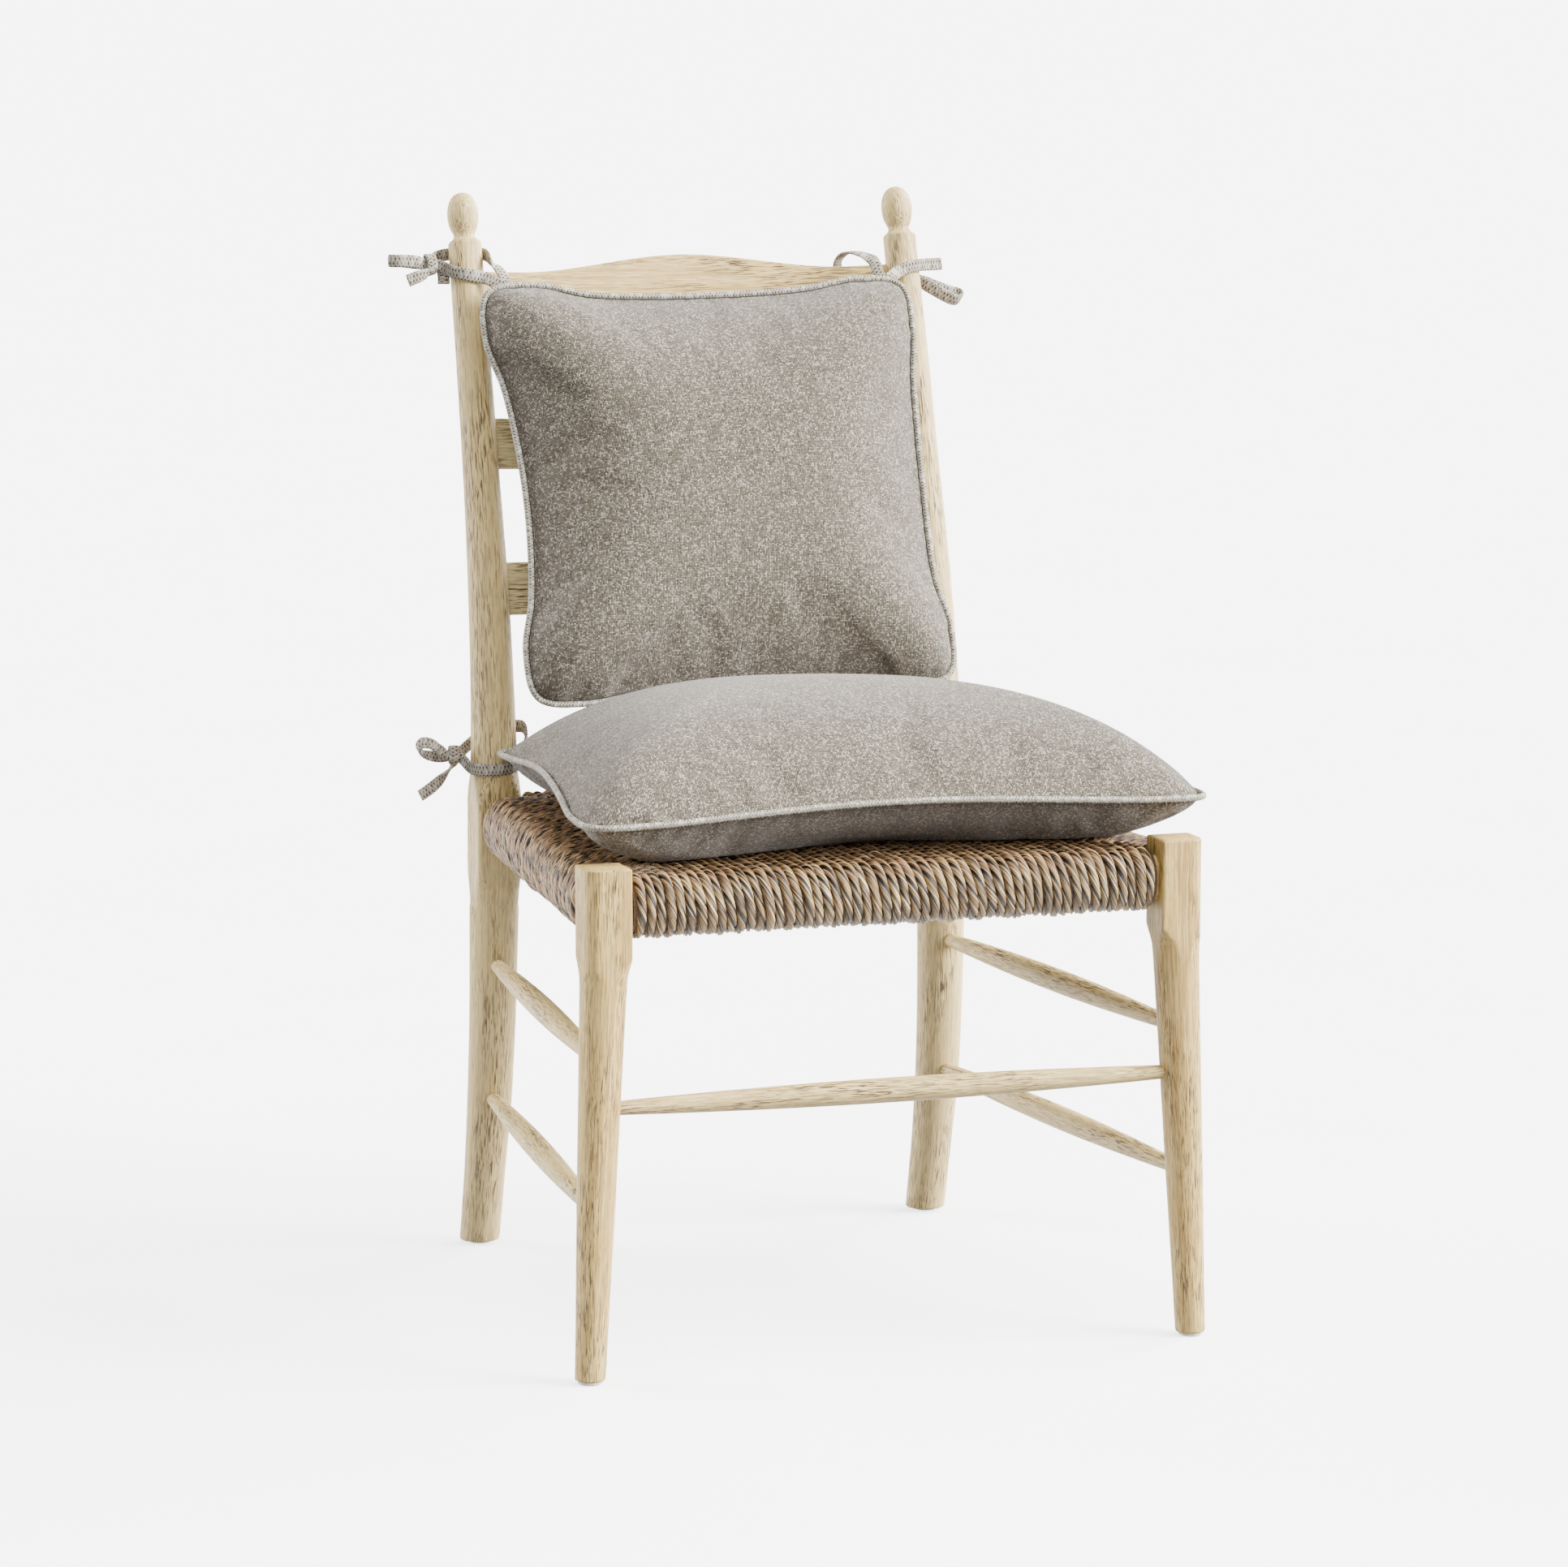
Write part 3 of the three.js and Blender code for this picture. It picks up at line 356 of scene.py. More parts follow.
def ring_faces(rings, around, closed=False):
    """Quads between consecutive rings. The last ring joins the first where the tube is closed,
    and otherwise a polygon closes each end."""
    faces = []
    for i in range(rings if closed else rings - 1):
        a, b = i * around, (i + 1) % rings * around
        faces += [(a + k, a + (k + 1) % around, b + (k + 1) % around, b + k) for k in range(around)]
    if not closed:
        faces.append(tuple(reversed(range(around))))
        faces.append(tuple((rings - 1) * around + k for k in range(around)))
    return faces


def flipped(faces):
    return [tuple(reversed(face)) for face in faces]


def full_turn(count):
    return np.linspace(0, 2 * math.pi, count, endpoint=False)


def unit(vectors):
    return vectors / np.linalg.norm(vectors, axis=-1, keepdims=True)


def distance_along(points):
    """How far along a line each of its points lies."""
    return np.concatenate([[0], np.cumsum(np.linalg.norm(np.diff(points, axis=0), axis=1))])


def at_distances(points, distances, at):
    """The places on a line, given its points and their distances along it."""
    return np.stack([np.interp(at, distances, column) for column in points.T], axis=1)


def loop_normals(line):
    """The outward normals of a closed plan outline that runs anticlockwise."""
    t = unit(np.roll(line, -1, axis=0) - np.roll(line, 1, axis=0))
    return np.stack([t[:, 1], -t[:, 0]], axis=1)


def tube_strand(distances, sides):
    """The strand attribute of a tube: metres along it, and the share of a turn round it."""
    strand = np.zeros((len(distances), sides, 3))
    strand[..., 0] = distances[:, None] * MM
    strand[..., 1] = (np.arange(sides) / sides)[None]
    return strand.reshape(-1, 3)


def interpolated(table, z):
    heights, values = zip(*table)
    return float(np.interp(z, heights, values))


CURVE_STEPS = 24  # between two of a curve's points


def blended(a, b, ta, tb, t):
    return (tb - t) / (tb - ta) * a + (t - ta) / (tb - ta) * b


def smooth_curve(points, count, closed=False):
    """Centripetal Catmull-Rom through the points, resampled to even steps."""
    p = np.asarray(points, float)
    if closed:
        p = np.vstack([p[-1], p, p[0], p[1]])
    else:
        p = np.vstack([2 * p[0] - p[1], p, 2 * p[-1] - p[-2]])
    steps = np.maximum(np.linalg.norm(np.diff(p, axis=0), axis=1), 1e-6) ** 0.5
    t = np.concatenate([[0], np.cumsum(steps)])
    dense = []
    for i in range(1, len(p) - 2):
        u = np.linspace(t[i], t[i + 1], CURVE_STEPS, endpoint=False)[:, None]
        a = [blended(p[k], p[k + 1], t[k], t[k + 1], u) for k in (i - 1, i, i + 1)]
        b = [blended(a[k], a[k + 1], t[i - 1 + k], t[i + 1 + k], u) for k in (0, 1)]
        dense.append(blended(*b, t[i], t[i + 1], u))
    dense = np.vstack(dense + [p[-2][None]])
    distances = distance_along(dense)
    return at_distances(dense, distances, np.linspace(0, distances[-1], count, endpoint=not closed))


def placed(points):
    """Millimetres in the chair's drawing to metres in the row frame."""
    return (np.array(points, float) + SHIFT) * MM


# ---- turned and squared legs
LEG_TOP = 450.6
LEG_BLOCK = (264.0, -272.0)
LEG_FOOT = (280.0, -278.2)
LEG_BLOCK_BOTTOM = 366.0
LEG_HALF = (20.0, 20.5)
LEG_RADII = (2.2, 1.6, 1.6, 13.0)
LEG_EDGE = 1.6  # the height of the rounding at the leg's top
POST_HALF = (21.5, 23.5)
POST_RADII = (7.0, 4.0, 2.5, 4.5)
POST_BLOCK = (336, 470)  # the heights between which a post is squared
FINIAL_Z = 950
FOOT_Z = 2.8
FOOT_EDGE = 1.6
FOOT_LEVEL = 30  # below this height a post's rings turn level with the floor
AROUND, POST_STEPS = 112, 500  # points round a leg, and along a post's centre line
LEG_PROFILE = [
    (FOOT_Z, 11.9), (FOOT_Z + 0.6, 12.9), (FOOT_Z + 1.8, 13.5), (52, 14.4), (110, 15.8), (157, 16.9),
    (240, 18.4), (316, 19.9), (346, 20.6), (355, 21.2), (361, 22.8), (368, 26), (374, 30),
    (LEG_TOP + 1, 30),
]
POST_AXIS = [
    (-20, 227.3, 283.5), (0, 227, 278), (75, 226.6, 257.5), (147, 226, 241), (229, 225, 231.5),
    (290, 224.4, 228.3), (347, 223.8, 226.6), (434, 223, 226.6), (501, 222.2, 231),
    (580, 221.4, 241), (656, 220.6, 255.5), (726, 219.9, 273), (816, 219.1, 296.5),
    (900, 218.3, 320.5), (951.5, 217.9, 335.4), (980, 217.6, 343.4), (1010, 217.3, 351.6),
]
POST_PROFILE = [
    (-12, 19), (75, 19.6), (147, 21.2), (229, 22.1), (290, 22.8), (335, 23.4), (350, 25),
    (366, 28.6), (386, 32), (428, 32), (446, 27.4), (462, 23.2), (478, 21.8), (540, 20.6),
    (656, 18.7), (726, 17.3), (816, 16.6), (890, 16.2), (950, 15.8),
]
FINIAL = [
    (950, 15.8), (951.6, 15.6), (952.6, 14.9), (954.2, 12.9), (955.4, 11.3), (956.8, 10.3), (958.4, 9.95),
    (960.2, 10.25), (962.4, 11.3), (966, 12.95), (970, 14.1), (974, 14.7), (978, 14.85), (982, 14.6),
    (986, 13.85), (990, 12.5), (993.5, 10.5), (996.2, 7.9), (997.9, 5), (998.7, 2.2), (998.9, 0.4),
]


def rounded_square(x, y, half_x, half_y, radii):
    """Signed distance to a rectangle whose corners (++, -+, --, +-) have radii of their own."""
    right, back = x > 0, y > 0
    left_radius = np.where(back, radii[1], radii[2])
    r = np.where(right, np.where(back, radii[0], radii[3]), left_radius)
    qx, qy = np.abs(x) - half_x + r, np.abs(y) - half_y + r
    outside = np.hypot(np.maximum(qx, 0), np.maximum(qy, 0))
    return np.minimum(np.maximum(qx, qy), 0) + outside - r


def section(angles, turned_radius, half_x, half_y, radii, blend):
    """Radius by angle where a round turning meets a square blank, softened by blend."""
    low, high = np.full_like(angles, 2.0), np.full_like(angles, 45.0)
    for _ in range(26):
        middle = (low + high) / 2
        x, y = middle * np.cos(angles), middle * np.sin(angles)
        a = rounded_square(x, y, half_x, half_y, radii)
        b = middle - turned_radius
        h = np.clip(0.5 + 0.5 * (a - b) / blend, 0, 1)
        d = b * (1 - h) + a * h + blend * h * (1 - h)
        low, high = np.where(d < 0, middle, low), np.where(d < 0, high, middle)
    return low


def column(name, heights, radius_at, axis_at, node, mirror, seed):
    """A long turned piece: a ring of points at each height, set square to its bent centre line."""
    angles = full_turn(AROUND)
    vertices, grain = [], []
    for z in heights:
        r = radius_at(z, angles)
        x, y = r * np.cos(angles), r * np.sin(angles)
        centre, lean = axis_at(z)
        ring = [centre[0] + x, centre[1] + y * math.cos(lean), centre[2] - y * math.sin(lean)]
        vertices.append(np.stack(ring, axis=1) * (mirror, 1, 1))
        along = np.full(AROUND, z + 400.0 * seed)
        grain.append(np.stack([x + 60 * seed, y + 35 * seed, along], axis=1))
    faces = ring_faces(len(heights), AROUND)
    if mirror < 0:
        faces = flipped(faces)
    add_oak(name, np.vstack(vertices), faces, node, grain)


def leg_axis(z):
    t = np.clip((LEG_BLOCK_BOTTOM - z) / LEG_BLOCK_BOTTOM, 0, 1)
    x = LEG_BLOCK[0] + (LEG_FOOT[0] - LEG_BLOCK[0]) * t
    y = LEG_BLOCK[1] + (LEG_FOOT[1] - LEG_BLOCK[1]) * t
    return np.array([x, y, z]), 0.0


POST_LINE = smooth_curve([(x, y, z) for z, x, y in POST_AXIS], POST_STEPS)


def post_axis(z):
    k = np.clip(np.searchsorted(POST_LINE[:, 2], z), 2, len(POST_LINE) - 3)
    x = np.interp(z, POST_LINE[:, 2], POST_LINE[:, 0])
    y = np.interp(z, POST_LINE[:, 2], POST_LINE[:, 1])
    step = POST_LINE[k + 2] - POST_LINE[k - 2]
    return np.array([x, y, z]), math.atan2(step[1], step[2])


def spaced(*stops):
    """Heights that run through (from, to, step) stretches."""
    rows = []
    for low, high, step in stops:
        rows += list(np.linspace(low, high, max(2, int(round((high - low) / step)) + 1)))
    return sorted(set(round(float(z), 3) for z in rows))


def build_front_leg(mirror, word, seed):
    def radius_at(z, angles):
        square = section(angles, interpolated(LEG_PROFILE, z), *LEG_HALF, LEG_RADII, 1.2)
        return square - 0.55 * max(0.0, LEG_EDGE - (LEG_TOP - z)) ** 1.6

    heights = spaced((FOOT_Z, FOOT_Z + 2.4, 0.5), (FOOT_Z + 4, 340, 9), (342, 384, 1.6),
                     (388, LEG_TOP - 2, 8), (LEG_TOP - LEG_EDGE, LEG_TOP, 0.4))
    column(f"leg_front_{word}", heights, radius_at, leg_axis, f"front_leg_{word}", mirror, seed)


def build_back_post(mirror, word, seed):
    def radius_at(z, angles):
        if z >= FINIAL_Z:
            return np.full_like(angles, interpolated(FINIAL, z))
        turning = interpolated(POST_PROFILE, z)
        if not POST_BLOCK[0] < z < POST_BLOCK[1]:
            return np.full_like(angles, turning) - 0.6 * max(0.0, FOOT_Z + FOOT_EDGE - z) ** 1.5
        return section(angles, turning, *POST_HALF, POST_RADII, 2.5)

    def axis_at(z):
        centre, lean = post_axis(z)
        return centre, lean * np.clip((z - FOOT_Z) / (FOOT_LEVEL - FOOT_Z), 0, 1)

    heights = spaced((FOOT_Z, FOOT_Z + FOOT_EDGE, 0.4), (FOOT_Z + 4, 330, 9), (334, 474, 2.4),
                     (480, 948, 9), (FINIAL_Z, 960, 0.7), (961, 990, 1.4), (991, 998.9, 0.7))
    column(f"post_back_{word}", heights, radius_at, axis_at, f"back_post_{word}", mirror, seed)


# ---- stretchers, rails and slats
STRETCHER_MID, STRETCHER_END, STRETCHER_TENON = 11.0, 6.2, 15.0
STRETCHER_SIDES, STRETCHER_RINGS = 40, 90
STRETCHER_HEIGHTS = {"upper": 280.0, "lower": 150.0}
FRONT_STRETCHER_Z = 240.0


def turned_between(name, start, end, node, seed):
    """A swelling spindle between two points, its ends inside their mortises."""
    start, end = np.array(start, float), np.array(end, float)
    length = np.linalg.norm(end - start)
    along = unit(end - start)
    across = unit(np.cross(along, (0, 0, 1)))
    up = np.cross(across, along)
    angles = full_turn(STRETCHER_SIDES)
    vertices, grain = [], []
    for at in np.linspace(0, length, STRETCHER_RINGS):
        inside = np.clip((at - STRETCHER_TENON) / (length - 2 * STRETCHER_TENON), 0, 1)
        r = STRETCHER_END + (STRETCHER_MID - STRETCHER_END) * math.sin(math.pi * inside) ** 0.9
        x, y = r * np.cos(angles), r * np.sin(angles)
        vertices.append(start + along * at + np.outer(x, across) + np.outer(y, up))
        run = np.full(STRETCHER_SIDES, at + 531.0 * seed)
        grain.append(np.stack([x + 41 * seed, y + 77 * seed, run], axis=1))
    add_oak(name, np.vstack(vertices), ring_faces(STRETCHER_RINGS, STRETCHER_SIDES), node, grain)


def build_stretchers():
    seed = 11
    for side, word in SIDES:
        for level, z in STRETCHER_HEIGHTS.items():
            back, front = post_axis(z)[0], leg_axis(z)[0]
            along = unit(front - back)
            start = back + along * (interpolated(POST_PROFILE, z) - STRETCHER_TENON)
            end = front + along * (STRETCHER_TENON - interpolated(LEG_PROFILE, z))
            ends = (start * (side, 1, 1), end * (side, 1, 1))
            turned_between(f"stretcher_{level}_{word}", *ends, f"side_stretcher_{level}_{word}", seed)
            seed += 1
    leg = leg_axis(FRONT_STRETCHER_Z)[0]
    reach = leg[0] - interpolated(LEG_PROFILE, FRONT_STRETCHER_Z) + STRETCHER_TENON
    ends = [(-reach, leg[1], FRONT_STRETCHER_Z), (reach, leg[1], FRONT_STRETCHER_Z)]
    turned_between("stretcher_front", *ends, "front_stretcher", seed)


SLAT_T, SLAT_BOW = 9.0, 18.0
SLAT_EDGE = 0.62  # how high a slat's rounded edge is, as a share of half its thickness
SLAT_ROUND, SLAT_COLUMNS = 10, 90
SLATS = {"ladder_slat_upper": (766.0, 48.5), "ladder_slat_lower": (632.0, 50.0)}
CREST_Z, CREST_H, CREST_RISE, CREST_HALF = 900.0, 53.0, 17.0, 165.0


def bent_slat(name, z, bottom, top, node, seed):
    """A slat bowed backwards; bottom and top give its edges' heights along its span."""
    centre, lean = post_axis(z)
    half = centre[0] - 2
    r = SLAT_T / 2
    outline = []
    for edge, first in ((1, 0), (-1, math.pi)):
        for a in first + np.linspace(0, math.pi, SLAT_ROUND):
            outline.append((r * math.cos(a), edge, SLAT_EDGE * r * math.sin(a)))
    vertices, grain = [], []
    for x in np.linspace(-half, half, SLAT_COLUMNS):
        bow = SLAT_BOW * (1 - (x / half) ** 2)
        for depth, edge, lift in outline:
            up = (top(x) if edge > 0 else bottom(x)) + lift - edge * SLAT_EDGE * r
            y = bow + depth
            vertices.append((x, centre[1] + y * math.cos(lean) + up * math.sin(lean),
                             z + up * math.cos(lean) - y * math.sin(lean)))
            grain.append((depth + 50 * seed, up + 91 * seed, x + 700.0 * seed))
    faces = flipped(ring_faces(SLAT_COLUMNS, len(outline)))
    add_oak(name, vertices, faces, node, grain)


def build_back_rails():
    for seed, (node, (z, height)) in enumerate(SLATS.items(), 21):
        name = node.replace("ladder_", "")
        bent_slat(name, z, lambda x, h=height: -h / 2, lambda x, h=height: h / 2, node, seed)

    def crest_top(x):
        t = np.clip(1 - abs(x) / CREST_HALF, 0, 1)
        return CREST_H / 2 + CREST_RISE * t * t * (3 - 2 * t)

    bent_slat("crest", CREST_Z, lambda x: -CREST_H / 2, crest_top, "crest_rail", 29)


# ---- rush seat
RUSH_TOP, RUSH_BOTTOM = 443.0, 386.0
RUSH_FRONT, RUSH_BACK = -291.0, 246.0
RUSH_HALF_FRONT, RUSH_HALF_BACK = 289.0, 240.0
CORD_R = 4.4
CORD_SIDES, CORD_STEP = 14, 3.2
CORD_FULL, FOLD_CUT = 0.94, 0.48  # a cord's radius, and how far a fold cuts into it, as shares of its size
TWIST_PITCH, TWIST_DIRECTION = 44.0, -1.0
LEAF_STEP = 3.7  # metres of leaf pattern from one cord to the next
ROLL = 21.0  # the radius that the cords' centre lines follow round a rail
CORNER_REACH = 44.0  # how far in a fan's first cord reaches, to the inner corner of the leg
SEAM_Y = -22.0  # where the front and back fans meet
RUSH_LEVEL = 415.0  # the height at which the fans are fitted between the posts
LEG_GAP, POST_GAP = 1.0, 1.5
BLUSH_FROM, BLUSH_FADE = 426.0, 12.0  # the front's leaves turn pinkish towards its top


def rush_half(y):
    """The rush seat's half width at y."""
    return float(np.interp(y, (RUSH_FRONT, RUSH_BACK), (RUSH_HALF_FRONT, RUSH_HALF_BACK)))


def wrap_rows(reach):
    """One cord's wrap seen from the end of a rail: (depth inwards from its outermost line, height)."""
    top, bottom = RUSH_TOP - CORD_R, RUSH_BOTTOM + CORD_R
    arc = np.linspace(0, math.pi / 2, 14)
    flat = np.linspace(reach, ROLL, max(3, int((reach - ROLL) / 5)), endpoint=False)
    upper = [(ROLL * (1 - math.sin(a)), top - ROLL * (1 - math.cos(a))) for a in arc]
    face = [(0.0, z) for z in np.linspace(top - ROLL, bottom + ROLL, 6)[1:-1]]
    lower = [(ROLL * (1 - math.cos(a)), bottom + ROLL * (1 - math.sin(a))) for a in arc]
    return [(d, top) for d in flat] + upper + face + lower + [(d, bottom) for d in flat[::-1]]


def rush_cord(path, seed):
    """A twisted cord along a path: a tube with sharp folds that follow its twist."""
    path, phase, number = np.asarray(path), seed["phase"], seed["number"]
    s = distance_along(path)
    at = np.linspace(0, s[-1], max(10, int(s[-1] / CORD_STEP)))
    p = at_distances(path, s, at)
    t = unit(np.gradient(p, axis=0))
    rail = np.array([1.0, 0, 0]) if np.abs(t[:, 0]).mean() < 0.5 else np.array([0, 1.0, 0])
    n1 = unit(rail - t * (t @ rail)[:, None])
    n2 = np.cross(t, n1)
    twist = TWIST_DIRECTION * 2 * math.pi * at / (TWIST_PITCH * seed["pitch"]) + phase
    body = full_turn(CORD_SIDES)
    folds = np.zeros(CORD_SIDES)
    folds[seed["folds"]] = 1.0
    run = at[:, None] / seed["fold_run"] + np.arange(CORD_SIDES) * 2.1 + phase
    crease = folds[None] * (0.6 + 0.4 * np.sin(run))
    uneven = 1 + 0.07 * np.sin(at / 15 + phase) + 0.05 * np.sin(at / 5.3 + number)
    radius = (CORD_R * seed["size"] * uneven)[:, None] * (CORD_FULL - FOLD_CUT * crease)
    turn = (body[None] + twist[:, None])[..., None]
    ring = p[:, None] + radius[..., None] * (n1[:, None] * np.cos(turn) + n2[:, None] * np.sin(turn))
    strand = np.empty(ring.shape)
    strand[..., 0] = at[:, None] * MM + number * LEAF_STEP
    strand[..., 1] = np.cos(body)[None]
    strand[..., 2] = np.sin(body)[None]
    return ring.reshape(-1, 3), strand.reshape(-1, 3), crease.ravel(), ring_faces(len(at), CORD_SIDES)


def cord_seed(number):
    """What sets one cord apart: its number, twist, thickness and which of its sides fold in."""
    start = rng.integers(0, 3)
    return dict(
        number=float(number), phase=rng.uniform(0, 6.28), pitch=rng.uniform(0.85, 1.25),
        fold_run=rng.uniform(7, 16),
        folds=[start, start + rng.integers(4, 6), start + rng.integers(9, 11)],
        size=1 + rng.normal(0, 0.05),
    )


def build_fan(name, start, end, inward, depth_limit, count, lean):
    """Cords wrapped side by side round the rail from start to end, reaching in to the seams."""
    start, end, inward = (np.array([*flat, 0.0]) for flat in (start, end, inward))
    rail = unit(end - start)
    cords, faces, offset = [], [], 0
    for i in range(count):
        share = (i + 0.5) / count
        reach = CORNER_REACH + (depth_limit - CORNER_REACH) * min(share, 1 - share) * 2
        base = start + (end - start) * share + rail * rng.normal(0, 0.4)
        slope = lean * min(1, 7 * share) * min(1, 7 * (1 - share)) * rng.uniform(0.7, 1.25)
        sag, droop = rng.normal(0, 0.45), abs(rng.normal(0, 1.0))
        path = []
        for d, z in wrap_rows(reach):
            fall = np.clip((RUSH_TOP - CORD_R - z) / (RUSH_TOP - RUSH_BOTTOM - 2 * CORD_R), 0, 1)
            low = np.array([0, 0, z - fall ** 3 * droop])
            path.append(base + rail * slope * (fall - 0.5) + inward * (d + sag) + low)
        points, strand, crease, tube = rush_cord(path, cord_seed(i + 100 * len(name)))
        cords.append((points, strand, crease))
        faces += [tuple(k + offset for k in face) for face in tube]
        offset += len(points)
    points, strands, creases = (np.concatenate(parts) for parts in zip(*cords))
    blush = np.ones(offset)
    if name == "rush_front":
        blush = np.clip((points[:, 2] - BLUSH_FROM) / BLUSH_FADE, 0, 1)
    attributes = {"strand": strands, "crease": creases, "blush": blush}
    add_piece(name, placed(points), faces, RUSH, "rush_seat", attributes)


def build_rush():
    """Four fans of cords between the legs and posts, over the stuffing."""
    inner_front = LEG_BLOCK[0] - LEG_HALF[0] - LEG_GAP
    leg_back = LEG_BLOCK[1] + LEG_HALF[1] + LEG_GAP
    post = post_axis(RUSH_LEVEL)[0]
    post_inner, post_front = post[0] - POST_HALF[0] - POST_GAP, post[1] - POST_HALF[1] - POST_GAP
    front_y, back_y = RUSH_FRONT + CORD_R, RUSH_BACK - CORD_R
    build_fan("rush_front", (CORD_R - inner_front, front_y), (inner_front - CORD_R, front_y), (0, 1),
              SEAM_Y - front_y, 54, 9.0)
    build_fan("rush_back", (post_inner - CORD_R, back_y), (CORD_R - post_inner, back_y), (0, -1),
              back_y - SEAM_Y, 44, 5.0)
    for side, word in SIDES:
        half_front, half_back = rush_half(leg_back) - CORD_R, rush_half(post_front) - CORD_R
        ends = [(side * half_back, post_front - CORD_R), (side * half_front, leg_back + CORD_R)]
        if side > 0:
            ends.reverse()
        build_fan(f"rush_{word}", *ends, (-side, 0), (half_front + half_back) / 2 - 2, 50, 5.0)
    build_stuffing(inner_front, leg_back, post_inner, post_front)


def build_stuffing(inner_front, leg_back, post_inner, post_front):
    """The stuffing between the cords, rounded as they are; its dark brown is partly its own colour and
    partly painted shade for the gaps between the cords.
    """
    def outline(inset):
        half = [
            (inner_front - 2, RUSH_FRONT + inset), (inner_front - 2, leg_back + 2),
            (rush_half(leg_back) - inset, leg_back + 2), (rush_half(post_front) - inset, post_front - 2),
            (post_inner - 2, post_front - 2), (post_inner - 2, RUSH_BACK - inset),
        ]
        return half + [(-x, y) for x, y in reversed(half)]

    centre, within = CORD_R + ROLL, ROLL - 0.8
    levels = []
    for a in np.linspace(-math.pi / 2, 0, 7):
        levels.append((centre - within * math.cos(a), RUSH_BOTTOM + centre + within * math.sin(a)))
    for a in np.linspace(0, math.pi / 2, 7):
        levels.append((centre - within * math.cos(a), RUSH_TOP - centre + within * math.sin(a)))
    vertices = [(x, y, z) for inset, z in levels for x, y in outline(inset)]
    faces = ring_faces(len(levels), len(outline(0)))
    add_piece("rush_stuffing", placed(vertices), faces, STUFFING, "rush_seat", smooth=False)


# ---- cushions
PIPING_R = 2.9
PIPING_RINGS, PIPING_SIDES = 900, 14
FLANGE_NEAR, FLANGE_DEEP, FLANGE_HALF = 1.0, 7.0, 0.35  # inwards from the piping's middle, and half thick
SEAM_CREASE = 0.5  # how far the piping stands off the covers' edges, over its sewn flange
EDGE_BACK = 0.8  # the covers' edges lie this far inside the seam line
CORNER_R = 26.0
CORNER_START, CORNER_TIP = 1.9, 0.25  # where the rounding starts and how far the tip comes in, in radii
CELLS, EDGE_CROWDING = 96, 1.55  # of a cover's grid: how many each way, crowded towards the seam
OUTLINE_POINTS = 1600
UNDERSIDE = 3000  # keeps the weave of the underside apart from the top's
INWARD = ((0, 1), (-1, 0), (0, -1), (1, 0))
# corners run front left, front right, back right, back left; draws and lifts front, right, back, left;
# draws are how far each side draws in at DRAWN_AT shares of its length
DRAWN_AT = (0.25, 0.5, 0.75)
SEAT_CUSHION = dict(
    name="seat_cushion", centre=(0, -36, 484), lean=0.0, fill=0.75,
    corners=((-275.4, -240.2), (296, -232.8), (226, 237), (-226.2, 242.8)),
    draws=((2, 2.9, 1.1), (-2.2, 11.4, 9.2), (4, 11.1, 2.4), (10.2, 2.6, -2.8)), lifts=(11, 2.9, 0, 22.5),
    up=88.5, down=49, flat_down=40.0, crown=(2.73, 0.87), tilt=(-0.056, -0.292),
    pressure=3.0, shrink=-0.012, puff_limit=6.0,
)
BACK_CUSHION = dict(
    name="back_cushion", centre=(0, 217, 725), lean=68.8, fill=0.8,
    corners=((-206.9, -202), (207.9, -195.4), (206.8, 200), (-213.4, 199.9)),
    draws=((5.3, 10, 9.2), (9.5, 9.9, 6), (9, 13.7, 10.7), (11.5, 19.3, 12.4)), lifts=(0, 0, 0, 0),
    up=60, down=44, flat_down=44.0, crown=(2.9, 0.62), tilt=(0.0, 0.0),
    pressure=3.0, shrink=-0.012, puff_limit=9.0,
)
UNDER_CROWN, UNDER_FULL = (2.9, 0.62), 1.12


def cushion_outline(c, grow, count):
    """Rounded corners and sides drawn in a little, anticlockwise; grow moves the outline outwards."""
    rows = []
    for k, (x, y) in enumerate(c["corners"]):
        sx, sy = math.copysign(CORNER_R, x), math.copysign(CORNER_R, y)
        tip = (x - sx * CORNER_TIP, y - sy * CORNER_TIP)
        corner = [(x, y - sy * CORNER_START), tip, (x - sx * CORNER_START, y)]
        rows += corner if k % 2 == 0 else corner[::-1]
        after = c["corners"][(k + 1) % 4]
        for share, draw in zip(DRAWN_AT, c["draws"][k]):
            rows.append((x + (after[0] - x) * share + INWARD[k][0] * draw,
                         y + (after[1] - y) * share + INWARD[k][1] * draw))
    outline = smooth_curve(rows, count, closed=True)
    return outline + loop_normals(outline) * grow


def lean_and_place(c, points):
    a = math.radians(c["lean"])
    p = np.asarray(points, float).reshape(-1, 3)
    x, y, z = p[:, 0], p[:, 1], p[:, 2]
    out = np.stack([x, y * math.cos(a) - z * math.sin(a), y * math.sin(a) + z * math.cos(a)], axis=1)
    return placed(out + np.array(c["centre"]))


def crown(share, powers):
    return np.maximum(0, 1 - np.minimum(share, 1) ** powers[0]) ** powers[1]


def along_curve(curve, shares):
    """Points at shares of an open curve's length."""
    s = distance_along(curve)
    return at_distances(curve, s, shares * s[-1])


